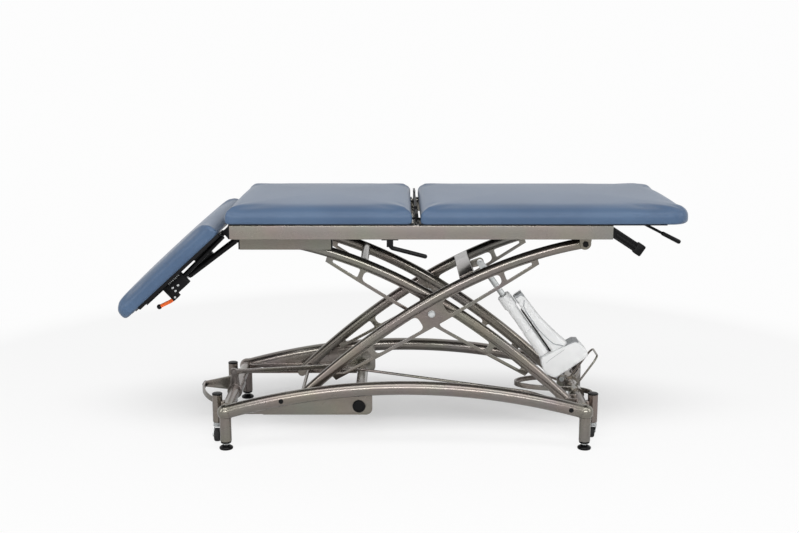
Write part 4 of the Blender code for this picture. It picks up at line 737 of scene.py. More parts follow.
g, start, end = drive["guide"], drive["guideStart"], drive["guideEnd"]
sleeve, sleeveStart, rod = drive["sleeve"], drive["guideEnd"] - drive["sleeveLength"], drive["rod"]
profile = [(g, start), (g, start + 0.110), (g - 0.0015, start + 0.1108), (g - 0.0015, sleeveStart - 0.008),
           (sleeve - 0.002, sleeveStart - 0.004), (sleeve, sleeveStart), (sleeve, end - 0.030),
           (sleeve - 0.0008, end - 0.0292), (sleeve - 0.0008, end - 0.0276), (sleeve, end - 0.0268),
           (sleeve, end - 0.004), (sleeve - 0.003, end), (rod + 0.0008, end), (rod + 0.0008, end - 0.02)]
makePiece("driveGuide", "drive_guide", [(latheMesh(profile, (0, 0, 0), sides=48), "whiteAbs")], driveMatrix)

neck = driveLength - 0.028
inside = drive["eye"] / 2 + 0.002
outside = inside + drive["cheek"]
profile = [(rod, drive["rodStart"]), (rod, neck - 0.009), (rod + 0.003, neck - 0.007),
           (rod + 0.003, neck + 0.004)]
fork = [(-0.011, neck + 0.004), (0.011, neck + 0.004)] + arc(0.0, driveLength, 0.011, 0.0, math.pi, 12)
parts = []
add(parts, "zinc", latheMesh(profile, (0, 0, 0)),
    boxMesh((-0.012, -outside, neck), (0.012, outside, neck + 0.008), 0.0015))
for flank in (-1, 1):
    add(parts, "zinc", slabMesh(fork, flank * inside, flank * outside),
        discMesh(0, driveLength, flank * (inside + 0.001), flank * (outside + 0.006), 0.006))
makePiece("driveRod", "drive_rod", parts, driveMatrix)
print("base, castors and drive built")

# castor lift: cranks on the cross tubes, joined by one bent link
crank = {"hub": 0.027, "linkY": -0.045, "rise": 0.078, "drop": 0.060, "reach": 0.117, "pedalRise": 0.013,
         "plate": 0.006, "pin": 0.005, "play": 0.004, "blade": (0.004, 0.009), "bladeGap": 0.0055,
         "loop": 0.0038, "loopHalf": 0.060, "loopTop": (0.078, 0.135), "loopBend": 0.012, "link": 0.005,
         "knee": (-0.250, 0.230), "bend": (0.460, 0.130), "bar": (0.004, 0.008), "hubY": 0.075,
         "bow": 0.216, "bowRise": 0.018, "leftHub": 0.110, "rightHub": 0.040}
linkY, crankPin = crank["linkY"], crank["pin"]


def hubMesh(x, y, width):
    return bushMesh(x, axleZ, y, width / 2, base["crossRadius"] + play, crank["hub"], 0.001, 44, False)


def bladeMesh(points):
    return sweepMesh(smoothPath(points, 10), roundedRectangle(*crank["blade"], 0.0016, 3))


def lobeMesh(x, pinZ, wide, narrow, reach, y):
    # crank plate from the hub to its link pin
    half = crank["plate"] / 2
    outline = [(x - wide, axleZ), (x + wide, axleZ), (x + narrow, pinZ + reach), (x - narrow, pinZ + reach)]
    return slabMesh(roundCorners(outline, 0.006), y - half, y + half)


x = -base["legX"]
tipX, pedalZ, pinZ = x - crank["reach"], axleZ + crank["pedalRise"], axleZ + crank["rise"]
arm = [(x, axleZ - 0.010), (x, axleZ + 0.048), (tipX, pedalZ + 0.009), (tipX - 0.009, pedalZ),
       (tipX, pedalZ - 0.009)]
endY = crank["bladeGap"] + castor["postRadius"] - castor["y"]
blade = [(tipX, 0.0, pedalZ), (tipX + 0.004, endY * 0.35, pedalZ),
         (tipX + 0.020, endY * 0.65, pedalZ - 0.002), (tipX + 0.046, endY * 0.88, axleZ + 0.006),
         (x - castor["out"] - 0.004, endY, axleZ + 0.004)]
parts = []
add(parts, "powder", hubMesh(x, 0.0, crank["leftHub"]),
    slabMesh(roundCorners(arm, 0.006), -0.005, 0.005, 0.001), lobeMesh(x, pinZ, 0.022, 0.009, 0.008, linkY),
    discMesh(x, pinZ, linkY - 0.018, linkY, crankPin),
    discMesh(x, pinZ, linkY - 0.0205, linkY - 0.0175, crankPin + 0.003))
add(parts, "blackNylon", discMesh(tipX, pedalZ, -0.013, 0.013, 0.009))
add(parts, "powder", bladeMesh(blade))
makePiece("leftCrank", "left_pedal_crank", parts)

x = base["legX"]
pinZ = axleZ - crank["drop"]
hubY, loopHalf, loopBend = crank["hubY"], crank["loopHalf"], crank["loopBend"]
topX, topZ = x + crank["loopTop"][0], axleZ + crank["loopTop"][1]
halfLoop = [(x, loopHalf, axleZ + crank["hub"] - 0.003), (topX - loopBend, loopHalf, topZ - 0.016),
            (topX, loopHalf - loopBend, topZ)]
loop = [(a, -b, c) for a, b, c in halfLoop] + halfLoop[::-1]
lobeY = -hubY + (crank["rightHub"] - crank["plate"]) / 2
bowZ, bowReach = axleZ + crank["bowRise"], crank["bow"] - crank["hub"]
bow = [(x - base["crossRadius"], -hubY, bowZ - 0.004)]
for i in range(9):
    turn = math.pi * (i / 8 - 0.5)
    bow.append((x - crank["hub"] - bowReach * math.cos(turn), hubY * math.sin(turn), bowZ))
bow.append((x - base["crossRadius"], hubY, bowZ - 0.004))
parts = []
add(parts, "powder", hubMesh(x, -hubY, crank["rightHub"]), hubMesh(x, hubY, crank["rightHub"]),
    tubeMesh(filletPath(loop, loopBend), crank["loop"], 20), lobeMesh(x, pinZ, 0.022, 0.010, -0.006, lobeY))
add(parts, "zinc", discMesh(x, pinZ, lobeY, linkY + 0.008, crankPin))
for side in (-1, 1):
    endY = side * (castor["y"] - castor["postRadius"] - crank["bladeGap"])
    blade = [(x + 0.018, side * hubY, axleZ + 0.014), (x + 0.036, side * 0.110, axleZ + 0.020),
             (x + 0.044, side * 0.140, axleZ + 0.022), (x + castor["out"], endY, axleZ + 0.018)]
    add(parts, "powder", bladeMesh(blade))
add(parts, "powder", bladeMesh(bow))
makePiece("rightCrank", "right_pedal_crank", parts)

start = Vector((-base["legX"], linkY - 0.012, axleZ + crank["rise"]))
knee = Vector((crank["knee"][0], linkY - 0.005, crank["knee"][1]))
bend = Vector((crank["bend"][0], linkY, crank["bend"][1]))
last = Vector((base["legX"], linkY + 0.001, axleZ - crank["drop"]))
bore = crankPin + crank["play"]
bar = [start + Vector((0.006, 0, 0)), knee.lerp(start, 0.01), knee + Vector((0.012, 0, -0.001))]
rodPath = filletPath([knee, bend, last - (last - bend).normalized() * 0.010], 0.03)
parts = []
add(parts, "powder", sweepMesh(bar, roundedRectangle(*crank["bar"], 0.0012)),
    tubeMesh(rodPath, crank["link"], 20))
for point in (start, last):
    add(parts, "powder", bushMesh(point.x, point.z, point.y, 0.004, bore, bore + 0.004))
makePiece("pedalLink", "pedal_link", parts)

# scissor arms: arched tube over a cut web plate
pivotX, pivotZ, armTube = scissor["pivotX"], scissor["pivotZ"], scissor["tube"]
lowSpan, highSpan = scissor["lowX"] - pivotX, scissor["topX"] - pivotX
chordX, chordZ = lowSpan + highSpan, scissor["topZ"] - axleZ


def armPoint(share, mirror):
    x = -lowSpan + chordX * share
    z = axleZ + chordZ * share + scissor["rise"] * 4 * share * (1 - share)
    return pivotX + (-x if mirror else x), z


def armOffset(share, depth, mirror):
    slope = chordZ + scissor["rise"] * 4 * (1 - 2 * share)
    length = math.hypot(chordX, slope)
    x, z = armPoint(share, False)
    x += depth * slope / length
    z -= depth * chordX / length
    return (2 * pivotX - x if mirror else x), z


def webDepth(distance):
    bulge = 1 - (distance / scissor["webHalf"]) ** 2
    return armTube + scissor["webEnd"] + (scissor["webDepth"] - scissor["webEnd"]) * bulge


def webOutline(start, end, top, strip, mirror, steps):
    marks = [start + (end - start) * i / steps for i in range(steps + 1)]
    upper = [armOffset((lowSpan + s) / chordX, top, mirror) for s in marks]
    lower = [armOffset((lowSpan + s) / chordX, max(top + 0.0012, webDepth(s) - strip), mirror) for s in marks]
    return upper + lower[::-1]


def buildArm(label, node, y, mirror):
    side = math.copysign(1, y)
    path = [armPoint(i / 64, mirror) for i in range(65)]
    half, reach = scissor["web"] / 2, scissor["webHalf"]
    holes = [ringOutline(pivotX, pivotZ, scissor["pin"] + play)]
    for start, end, corner in scissor["windows"]:
        window = webOutline(start, end, armTube + 0.002, scissor["strip"], mirror, 4)
        holes.append(roundCorners(window, corner))
    web = webOutline(-reach, reach, armTube * 0.5, 0.0, mirror, 40)
    rollerEnd, fixedEnd = (path[-1], path[0]) if mirror else (path[0], path[-1])
    hub = scissor["lowerHub"] if mirror else scissor["hub"]
    parts = []
    add(parts, "powder", tubeMesh([(x, y, z) for x, z in path], armTube, 44),
        slabMesh(web, y - half, y + half, 0.0008, holes),
        discMesh(*rollerEnd, y - armTube, y + armTube, scissor["rollerHub"], 0.0015))
    add(parts, "zinc",
        discMesh(*rollerEnd, y, y + side * (armTube + scissor["stubs"][mirror]), scissor["axle"]))
    add(parts, "powder", bushMesh(*fixedEnd, y, armTube, scissor["pin"] + play, hub, 0.001, 44))
    makePiece(label, node, parts)
    return rollerEnd


def buildRoller(label, node, centre, armY, side, r):
    start = side * (armY + armTube) + side * 0.002
    end = start + side * scissor["rollerWidth"]
    bore = scissor["axle"] + play
    profile = [(bore, start), (r * 0.6, start), (r * 0.65, start + side * 0.001),
               (r - 0.002, start + side * 0.001), (r, start + side * 0.003), (r, end - side * 0.003),
               (r - 0.002, end - side * 0.001), (r * 0.65, end - side * 0.001), (r * 0.6, end), (bore, end)]
    makePiece(label, node, [(acrossMesh(profile, *centre), "blackNylon")])


risingY, fallingY, webHalf = scissor["risingY"], scissor["fallingY"], scissor["web"] / 2
for sideName, side in sides:
    lowEnd = buildArm(sideName + "RisingArm", sideName + "_rising_arm", side * risingY, False)
    highEnd = buildArm(sideName + "FallingArm", sideName + "_falling_arm", side * fallingY, True)
    buildRoller(sideName + "LowerRoller", sideName + "_lower_roller", lowEnd, risingY, side,
        scissor["lowRoller"])
    buildRoller(sideName + "UpperRoller", sideName + "_upper_roller", highEnd, fallingY, side,
        scissor["roller"])
    headFace = side * (risingY + webHalf + 0.0005)
    nutFace = side * (fallingY - webHalf - gap)
    parts = []
    add(parts, "zinc",
        discMesh(pivotX, pivotZ, headFace + side * 0.008, nutFace - side * 0.014, scissor["pin"]),
        discMesh(pivotX, pivotZ, side * (risingY - webHalf - 0.0005),
                 side * (fallingY + webHalf + gap), scissor["spacer"]),
        discMesh(pivotX, pivotZ, headFace, headFace + side * 0.002, scissor["washer"]),
        hexMesh((pivotX, headFace + side * 0.002, pivotZ), (0, side, 0), *scissor["boltHead"]),
        hexMesh((pivotX, nutFace, pivotZ), (0, -side, 0), *scissor["nut"]))
    makePiece(sideName + "PivotBolt", sideName + "_pivot_bolt", parts)


def flatOutline(points):
    return [(p.x, p.z) for p in points]


bx, bz = armPoint(scissor["beamShare"], False)
nx, nz = armPoint(scissor["beamShare"] + 0.01, False)
along = Vector((nx - bx, 0, nz - bz)).normalized()
up = Vector((-along.z, 0, along.x))
centre = Vector((bx, 0, bz)) + up * scissor["beamLift"]
reach = risingY - armTube - gap
halfA, halfU = scissor["beam"][0] / 2, scissor["beam"][1] / 2
beam = [centre + along * a + up * b for a, b in roundedRectangle(halfA, halfU, 0.004)]
head = Vector((drive["head"][0], 0, drive["head"][1]))
root = centre + along * (halfA - 0.010)
lug = [root - up * halfU * 0.8, root + up * halfU * 0.8]
lug += [head + up * a + along * b for a, b in arc(0.0, 0.0, scissor["lugRadius"], 0.0, math.pi, 10)]
parts = []
add(parts, "powder", slabMesh(flatOutline(beam), -reach, reach, 0.0005),
    slabMesh(flatOutline(lug[::-1]), -drive["eye"] / 2, drive["eye"] / 2))
makePiece("risingCrossBeam", "rising_cross_beam", parts)
for label, node, share, mirror, y, r in (
        ("risingTie", "rising_tie_tube", scissor["tieShare"], False, risingY, scissor["tie"]),
        ("fallingTube", "falling_cross_tube", scissor["fallingTubeShare"], True, fallingY,
         scissor["fallingTube"])):
    x, z = armPoint(share, mirror)
    reach = y - armTube - gap
    parts = []
    add(parts, "powder", acrossMesh([(r, -reach), (r, reach)], x, z))
    for side in (-1, 1):
        add(parts, "powder", weldMesh((x, side * (reach - 0.001), z), (0, 1, 0), r, 0.002))
    makePiece(label, node, parts)
print("scissor built")

# top frame
top = {"railY": 0.310, "railWidth": 0.025, "bottom": 0.752, "top": 0.800, "left": -0.589, "right": 0.694,
       "memberHeight": 0.020, "memberWidth": 0.040, "members": (-0.500, -0.300, 0.030, 0.617),
       "boxLeft": -0.572, "boxRight": -0.256, "boxWall": 0.004, "boxDepth": 0.024, "boxHalf": 0.0205,
       "lugHalf": 0.024, "leverAt": (-0.052, 0.736), "leverHalf": 0.007, "cap": 0.0042, "shadowGapStrip": 0.0085,
       "boxOut": 0.0275, "nut": (0.019, 0.007), "shaft": 0.008}
spring = {"legFoot": (0.066, 0.750), "legHead": (0.486, 0.784), "headFoot": (-0.540, 0.755),
          "headAt": (0.312, -0.012), "headY": -0.100, "cylinder": 0.011, "rod": 0.005, "eye": 0.009,
          "eyeHalf": 0.006, "pin": 0.004, "legShare": 0.52, "headShare": 0.88}
railHalf, memberHalf = top["railWidth"] / 2, top["memberWidth"] / 2
railLow, wall = top["bottom"], top["boxWall"]
boxLeft, boxRight = top["boxLeft"], top["boxRight"]
memberTop = railLow + top["memberHeight"]
lx, lz = scissor["topX"], scissor["topZ"]
halfLug = [(-top["lugHalf"], memberTop - 0.004), (-0.017, lz - 0.008), (-0.008, lz - 0.018)]
lug = [(lx + a, z) for a, z in halfLug] + [(lx - a, z) for a, z in halfLug[::-1]]
low, high = lz - top["boxHalf"], lz + top["boxHalf"]
parts = []
for side in (-1, 1):
    first, last = (side * top["railY"] + out * railHalf for out in (-1, 1))
    add(parts, "railPowderWithPaintedLight", boxMesh((top["left"], first, railLow), (top["right"], last, top["top"]), 0.0025))
    # black end plugs on the rails, dark also as painted shade in the gap at each rail end
    for x, out in ((top["left"], -1), (top["right"], 1)):
        # the slanted bar closes the near rail's right end
        if side < 0 and out > 0:
            continue
        add(parts, "blackNylon", boxMesh((x - out * 0.001, first + 0.001, railLow + 0.001),
                                         (x + out * top["cap"], last - 0.001, top["top"] - 0.001), 0.001))
    outer = side * (fallingY + armTube + top["boxOut"])
    web = outer - side * wall
    inner = outer - side * top["boxDepth"]
    add(parts, "powder", boxMesh((boxLeft, outer, low - wall), (boxRight, web, railLow + 0.008)))
    # painted shade: black plates close the channel's ends and stand for the dark gap seen there
    for x, out in ((boxLeft, -1), (boxRight, 1)):
        shadeCapOuter, shadeCapInner = outer - side * 0.001, inner + side * 0.001
        add(parts, "blackNylon", boxMesh((x - out * 0.001, shadeCapOuter, low - wall + 0.001),
                                         (x + out * top["cap"], shadeCapInner, railLow - 0.0005), 0.001))
    # painted shade: a thin black strip along the rail's lower edge stands for the shadow gap between rail and
    # box
    add(parts, "blackNylon", boxMesh((boxLeft, outer - side * 0.002, railLow - top["shadowGapStrip"]),
                                     (boxRight, outer + side * 0.0012, railLow - 0.0002), 0.0004))
    for floor in (low - wall, high):
        add(parts, "powder",
            boxMesh((boxLeft, web + side * 0.002, floor), (boxRight, inner, floor + wall), 0.001))
    first, last = earPair(parts, roundCorners(lug, 0.006), side * risingY)
    add(parts, "zinc", discMesh(lx, lz, first - 0.004, last + 0.004, scissor["pin"]))
    for face, out in ((first, -1), (last, 1)):
        add(parts, "blackNylon", hexMesh((lx, face, lz), (0, out, 0), *top["nut"]))
for x in top["members"]:
    reach = top["railY"] - railHalf + 0.002
    add(parts, "powder",
        boxMesh((x - memberHalf, -reach, railLow + 0.001), (x + memberHalf, reach, memberTop), 0.002))


def springEars(parts, foot, y, edgeX):
    x, z = foot
    root = edgeX + math.copysign(0.004, edgeX - x)
    r = spring["eye"]
    outline = [(root, min(z - r * 0.7, memberTop - 0.012)), (x, z - r), (x, z + r), (root, memberTop - 0.001)]
    for out in (-1, 1):
        face = y + out * (spring["eyeHalf"] + 0.0005)
        add(parts, "powder", slabMesh(outline, face, face + out * 0.004, 0.0004),
            discMesh(x, z, face, face + out * 0.004, r))
    add(parts, "zinc", discMesh(x, z, y - 0.012, y + 0.012, spring["pin"]))


springEars(parts, spring["legFoot"], 0.0, top["members"][2] + memberHalf)
springEars(parts, spring["headFoot"], spring["headY"], top["members"][0] - memberHalf)
lx, lz = top["leverAt"]
nearY = -top["railY"]
for out in (-1, 1):
    face = nearY + out * (top["leverHalf"] + 0.0005)
    add(parts, "blackSteel",
        boxMesh((lx - 0.011, face, lz - 0.010), (lx + 0.011, face + out * 0.003, railLow + 0.002), 0.001))
add(parts, "blackSteel",
    boxMesh((lx - 0.028, nearY - 0.011, railLow - 0.003),
            (lx + 0.028, nearY + 0.011, railLow + 0.001), 0.001),
    discMesh(lx, lz, nearY - 0.0115, nearY + 0.0115, 0.003))
makePiece("topFrame", "top_frame", parts)

headHinge = (-0.581, 0.7755)
reach = top["railY"] - railHalf - gap
r = top["shaft"]
shaft = [(r - 0.0008, -reach), (r, -reach + 0.001), (r, reach - 0.001), (r - 0.0008, reach)]
makePiece("headShaft", "head_hinge_shaft", [(acrossMesh(shaft, *headHinge), "zinc")])

# lever under the near rail and slanted bar on its end
lever = {"tip": (0.066, 0.6925), "knee": (0.005, -0.014), "radius": 0.0074, "bore": 0.0035, "hub": 0.008}
tip = (lever["tip"][0], nearY, lever["tip"][1])
path = [(lx, nearY, lz - 0.002), (lx + lever["knee"][0], nearY, lz + lever["knee"][1]), tip]
parts = []
add(parts, "blackNylon", bushMesh(lx, lz, nearY, top["leverHalf"], lever["bore"], lever["hub"], closed=False),
    tubeMesh(filletPath(path, 0.008), lever["radius"], 24), ballMesh(tip, lever["radius"], 24))
makePiece("frameLever", "frame_lever", parts)

endBar = {"length": 0.105, "section": (0.022, 0.030), "tilt": math.radians(33.0), "rib": 0.003}
halfY, halfUp = endBar["section"][0] / 2, endBar["section"][1] / 2
reachX = halfUp * math.sin(endBar["tilt"])
startX = top["right"] + gap
along = Vector((math.cos(endBar["tilt"]), 0, -math.sin(endBar["tilt"])))
up = Vector((-along.z, 0, along.x))
root = Vector((startX + reachX, 0, (railLow + top["top"]) / 2 - 0.006))
tip = root + along * endBar["length"]
highRoot = root.z + halfUp * up.z + 2 * reachX * math.tan(endBar["tilt"])
outline = [(startX, root.z - halfUp * up.z), *flatOutline((tip - up * halfUp, tip + up * halfUp)),
           (startX, highRoot)]
parts = []
add(parts, "blackNylon",
    slabMesh(roundCorners(outline, 0.003), nearY - halfY + 0.004, nearY + halfY - 0.004, 0.001))
for out in (-1, 1):
    for lift in (-1, 0, 1):
        a = root + up * lift * (halfUp - 0.003) + along * (0.004 if lift < 1 else -0.010)
        b = tip + up * lift * (halfUp - 0.003) - along * 0.010
        wing = up * endBar["rib"]
        rib = roundCorners(flatOutline((a - wing, b - wing, b + wing, a + wing)), 0.002)
        add(parts, "blackNylon", slabMesh(rib, nearY + out * (halfY - 0.006), nearY + out * halfY, 0.0008))
blockRoot, capEnd = tip - along * 0.022, tip + along * 0.004
wing = up * (halfUp + 0.003)
cap = roundCorners(flatOutline((blockRoot - wing, capEnd - wing, capEnd + wing, blockRoot + wing)), 0.004)
add(parts, "blackNylon", slabMesh(cap, nearY - halfY - 0.001, nearY + halfY + 0.001, 0.0016))
makePiece("endBar", "end_bar", parts)
print("top frame built")

# upholstered sections
pad = {"width": 0.680, "bottom": 0.8012, "top": 0.859, "crown": 0.006, "edge": 0.033, "foot": 0.014,
       "tuck": 0.003, "corner": 0.018, "endCorner": 0.075, "headCorner": 0.042, "slack": 0.003,
       "long": 0.010, "cap": 0.008, "voxel": 0.009, "pressure": 4.0, "frames": 18}
board = {"top": 0.8082, "thickness": 0.0075, "inset": 0.030}
section = {"midLeft": -0.605, "midRight": 0.032, "legLeft": 0.040, "legRight": 0.955, "headStart": 0.030,
           "headEnd": 0.482}
qx, qz = headHinge
headTilt = Matrix.Rotation(math.radians(-42.3), 4, "Y")
headMatrix = Matrix.Translation((qx, 0, qz)) @ headTilt @ Matrix.Translation((-qx, 0, -qz))


def padOutline(x0, x1, leftCorner, rightCorner, inset, points):
    x0, x1, half = x0 + inset, x1 - inset, pad["width"] / 2 - inset
    outline = []
    quarters = ((1, 1, rightCorner), (-1, 1, leftCorner), (-1, -1, leftCorner), (1, -1, rightCorner))
    for quarter, (sx, sy, corner) in enumerate(quarters):
        radius = min(max(corner - inset, 0.004), min((x1 - x0) / 2, half) * 0.98)
        cx = (x1 if sx > 0 else x0) - sx * radius
        first = quarter * math.pi / 2
        outline += arc(cx, sy * (half - radius), radius, first, first + math.pi / 2, points)
    return outline


def padMesh(x0, x1, leftCorner, rightCorner):
    slack, edge, footSize = pad["slack"], pad["edge"], pad["foot"]
    bottom, topZ = pad["bottom"], pad["top"]
    profile = []
    for i in range(6):
        turn = math.pi / 2 * i / 5
        profile.append((slack + footSize * (1 - math.sin(turn)), bottom + footSize * (1 - math.cos(turn))))
    profile.append((slack + pad["tuck"] * 0.4, (bottom + footSize + topZ - edge) / 2))
    for i in range(9):
        turn = math.pi / 2 * i / 8
        height = topZ - edge * (1 - math.sin(turn)) - slack * math.sin(turn)
        profile.append((slack + edge * (1 - math.cos(turn)), height))
    inner = min(pad["width"], x1 - x0) / 2 - 0.012
    for i in range(1, 15):
        share = i / 14
        height = topZ - slack + pad["crown"] * math.sin(share * math.pi / 2)
        profile.append((slack + edge + (inner - slack - edge) * share, height))
    return stackMesh(x0, x1, leftCorner, rightCorner, profile, 12)


def stackMesh(x0, x1, leftCorner, rightCorner, profile, points):
    # layers of one cushion outline, each set in by its own amount
    rings = []
    for inset, z in profile:
        rings.append([(x, y, z) for x, y in padOutline(x0, x1, leftCorner, rightCorner, inset, points)])
    return ringsMesh(rings)


def applyModifiers(made):
    graph = bpy.context.evaluated_depsgraph_get()
    applied = bpy.data.meshes.new_from_object(made.evaluated_get(graph))
    made.modifiers.clear()
    return applied


def inflate(made):
    # the cover is held at its board and blown up like foam that fills it
    start = [v.co.copy() for v in made.data.vertices]
    held = made.vertex_groups.new(name="board")
    held.add([k for k, home in enumerate(start) if home.z < pad["bottom"] + 0.004], 1.0, "REPLACE")
    cloth = made.modifiers.new("Cloth", "CLOTH")
    cloth.settings.vertex_group_mass = "board"
    cloth.settings.use_pressure = True
    cloth.settings.uniform_pressure_force = pad["pressure"]
    cloth.settings.quality = 5
    cloth.settings.mass = 0.4
    cloth.settings.tension_stiffness = 25
    cloth.settings.compression_stiffness = 25
    cloth.settings.shear_stiffness = 12
    cloth.settings.bending_stiffness = 2
    cloth.settings.effector_weights.gravity = 0.0
    cloth.point_cache.frame_start = 1
    cloth.point_cache.frame_end = pad["frames"]
    for number in range(1, pad["frames"] + 1):
        bpy.context.scene.frame_set(number)
    blown = applyModifiers(made)
    made.vertex_groups.clear()
    for vertex, home in zip(blown.vertices, start):
        move = vertex.co - home
        if move.length > pad["cap"]:
            vertex.co = home + move.normalized() * pad["cap"]
    made.data = blown
    bpy.context.scene.frame_set(1)


def softPad(label, node, x0, x1, leftCorner, rightCorner, matrix):
    made = joinMesh(label, [(padMesh(x0, x1, leftCorner, rightCorner), "vinyl")], 80.0)
    remesh = made.modifiers.new("Remesh", "REMESH")
    remesh.mode = "VOXEL"
    remesh.voxel_size = pad["voxel"]
    remesh.use_smooth_shade = True
    made.data = applyModifiers(made)
    inflate(made)
    made.modifiers.new("Smooth", "SMOOTH").iterations = 3
    fine = made.modifiers.new("Subdivision", "SUBSURF")
    fine.levels = 1
    fine.render_levels = 1
    made.data = applyModifiers(made)
    made.data.materials.clear()
    made.data.materials.append(finishes["vinyl"])
    made.data.transform(matrix)
    made.data.shade_smooth()
    dress(made, node)
    print("pad filled:", label, len(made.data.vertices), "points")


# covers are cut a little long, because filling rounds their ends back
long, corner, flat = pad["long"], pad["corner"], Matrix.Identity(4)
headLeft, headRight = qx - section["headEnd"], qx - section["headStart"]
softPad("middlePad", "mid_pad", section["midLeft"] - long, section["midRight"] + 0.001, corner, corner, flat)
softPad("legPad", "leg_pad", section["legLeft"] - 0.001, section["legRight"] + long, corner,
    pad["endCorner"], flat)
softPad("headPad", "head_pad", headLeft - long, headRight + long * 0.7, pad["headCorner"], corner, headMatrix)

# boards, with the leg hinge between the middle one and the leg frame
legHinge = {"at": (0.036, 0.845), "y": 0.200, "plate": 0.006, "half": 0.0036, "pin": 0.002, "leaf": 0.005,
            "long": 0.060}
shadeGapSheet = {"half": 0.318, "low": 0.801, "high": 0.840, "thick": 0.0034}
boardLipAndShade = {"inner": 0.300, "outer": 0.3258, "low": 0.8003, "high": 0.8044, "ends": (-0.590, 0.028),
       "legEnds": (0.044, 0.872), "headReach": (0.412, 0.037), "headLow": 0.7925}
hx, hz = legHinge["at"]
hingeHalf, plateHalf = legHinge["half"], legHinge["plate"] / 2
midRight, legLeft = section["midRight"], section["legLeft"]
boardTop = board["top"]
boardLow = boardTop - board["thickness"]
leafLow, leafTop = boardLow + 0.001, boardTop - 0.001
hingeArc = arc(hx, hz, hingeHalf, 0.0, math.pi, 12)


def boardMesh(x0, x1, leftCorner, rightCorner):
    inset = board["inset"]
    profile = [(inset + 0.0015, boardLow), (inset, boardLow + 0.0015), (inset, leafTop),
               (inset + 0.001, boardTop)]
    return stackMesh(x0, x1, leftCorner, rightCorner, profile, 10)


# black strip under a pad's lower edge: partly the board's dark edge, partly painted shade below the pad
def boardLipAndShadeMesh(side, x0, x1, bottom):
    return boxMesh((x0, side * boardLipAndShade["inner"], bottom), (x1, side * boardLipAndShade["outer"], boardLipAndShade["high"]), 0.0006)


# painted shade: a black sheet fills the gap between the middle and leg pads, where there is only shadow
def shadeGapSheetMesh(x0, x1):
    return boxMesh((x0, -shadeGapSheet["half"], shadeGapSheet["low"]), (x1, shadeGapSheet["half"], shadeGapSheet["high"]), 0.0006)


leafEnd = midRight - legHinge["long"]
leaf = [(leafEnd, leafLow), (hx + hingeHalf, leafLow)] + hingeArc
leaf += [(hx - hingeHalf, leafTop), (leafEnd, leafTop)]
bore = ringOutline(hx, hz, legHinge["pin"] + play, 20)
parts = []
add(parts, "blackSteel", boardMesh(qx + 0.015, midRight, corner, corner))
for side in (-1, 1):
    y = side * legHinge["y"]
    add(parts, "blackSteel", slabMesh(leaf, y - plateHalf, y + plateHalf, 0.0005, [bore]))
add(parts, "blackSteel", shadeGapSheetMesh(midRight + 0.0002, midRight + shadeGapSheet["thick"]))
for side in (-1, 1):
    add(parts, "blackSteel", boardLipAndShadeMesh(side, *boardLipAndShade["ends"], boardLipAndShade["low"]))
makePiece("middleBoard", "mid_board", parts)

legFrame = {"barY": 0.250, "bar": (0.014, 0.022), "ends": (0.100, 0.800), "taper": (0.600, 0.690),
            "thin": 0.005, "leverAt": (0.822, 0.782), "leverY": -0.150, "leverTip": (0.962, 0.711),
            "leverRadius": 0.006, "gripShare": 0.45, "grip": 0.0078}
leafEnd = legLeft + legHinge["long"]
leaf = [(hx - hingeHalf, leafLow), (leafEnd, leafLow), (leafEnd, leafTop), (hx + hingeHalf, leafTop)]
leaf += hingeArc
x0, x1 = legFrame["ends"]
deep, thin = boardLow - legFrame["bar"][1], boardLow - legFrame["thin"]
bar = [(x0, deep), (legFrame["taper"][0], deep), (legFrame["taper"][1], thin), (x1, thin), (x1, leafLow),
       (x0, leafLow)]
sx, sz = spring["legHead"]
lx, lz = legFrame["leverAt"]
leverY, r = legFrame["leverY"], legFrame["leverRadius"]
parts = []
add(parts, "blackSteel", boardMesh(legLeft, section["legRight"], corner, pad["endCorner"]))
for side in (-1, 1):
    face = side * (legHinge["y"] + plateHalf + 0.0005)
    inner = side * (legHinge["y"] - plateHalf)
    barFirst, barLast = (side * legFrame["barY"] + out * legFrame["bar"][0] / 2 for out in (-1, 1))
    springFace = side * (spring["eyeHalf"] + 0.004)
    leverFace = leverY + side * (r + 0.0005)
    add(parts, "blackSteel", slabMesh(leaf, face, face + side * legHinge["leaf"], 0.0005))
    add(parts, "zinc", discMesh(hx, hz, inner, face + side * 0.001, legHinge["pin"], 0.0003))
    add(parts, "blackSteel", slabMesh(bar, barFirst, barLast, 0.0015),
        boardLipAndShadeMesh(side, *boardLipAndShade["legEnds"], boardLipAndShade["low"]),
        boxMesh((sx - 0.016, springFace, sz - 0.010), (sx + 0.016, springFace + side * 0.004, leafLow)),
        boxMesh((lx - 0.010, leverFace, lz - 0.008), (lx + 0.010, leverFace + side * 0.004, leafLow)))
add(parts, "zinc", discMesh(lx, lz, leverY - 0.010, leverY + 0.010, 0.0025, 0.0003))
add(parts, "blackSteel", shadeGapSheetMesh(legLeft - shadeGapSheet["thick"], legLeft - 0.0002))
makePiece("legFrame", "leg_frame", parts)

rodTip = Vector((legFrame["leverTip"][0], leverY, legFrame["leverTip"][1]))
rodStart = Vector((lx + 0.020, leverY, lz - 0.010))
gripStart = rodStart.lerp(rodTip, legFrame["gripShare"])
length = (rodTip - gripStart).length
g = legFrame["grip"]
grip = [(r * 0.8, 0.0), (g - 0.0012, 0.0012), (g - 0.0006, 0.004), (g, length - 0.006),
        (g - 0.001, length - 0.002), (g * 0.6, length)]
parts = []
add(parts, "blackSteel", bushMesh(lx, lz, leverY, r, 0.003, 0.007, closed=False),
    tubeMesh(filletPath([(lx, leverY, lz), rodStart, rodTip], 0.012), r * 0.8, 20))
add(parts, "blackNylon", latheMesh(grip, gripStart, rodTip - gripStart, 28))
makePiece("legReleaseLever", "leg_release_lever", parts)


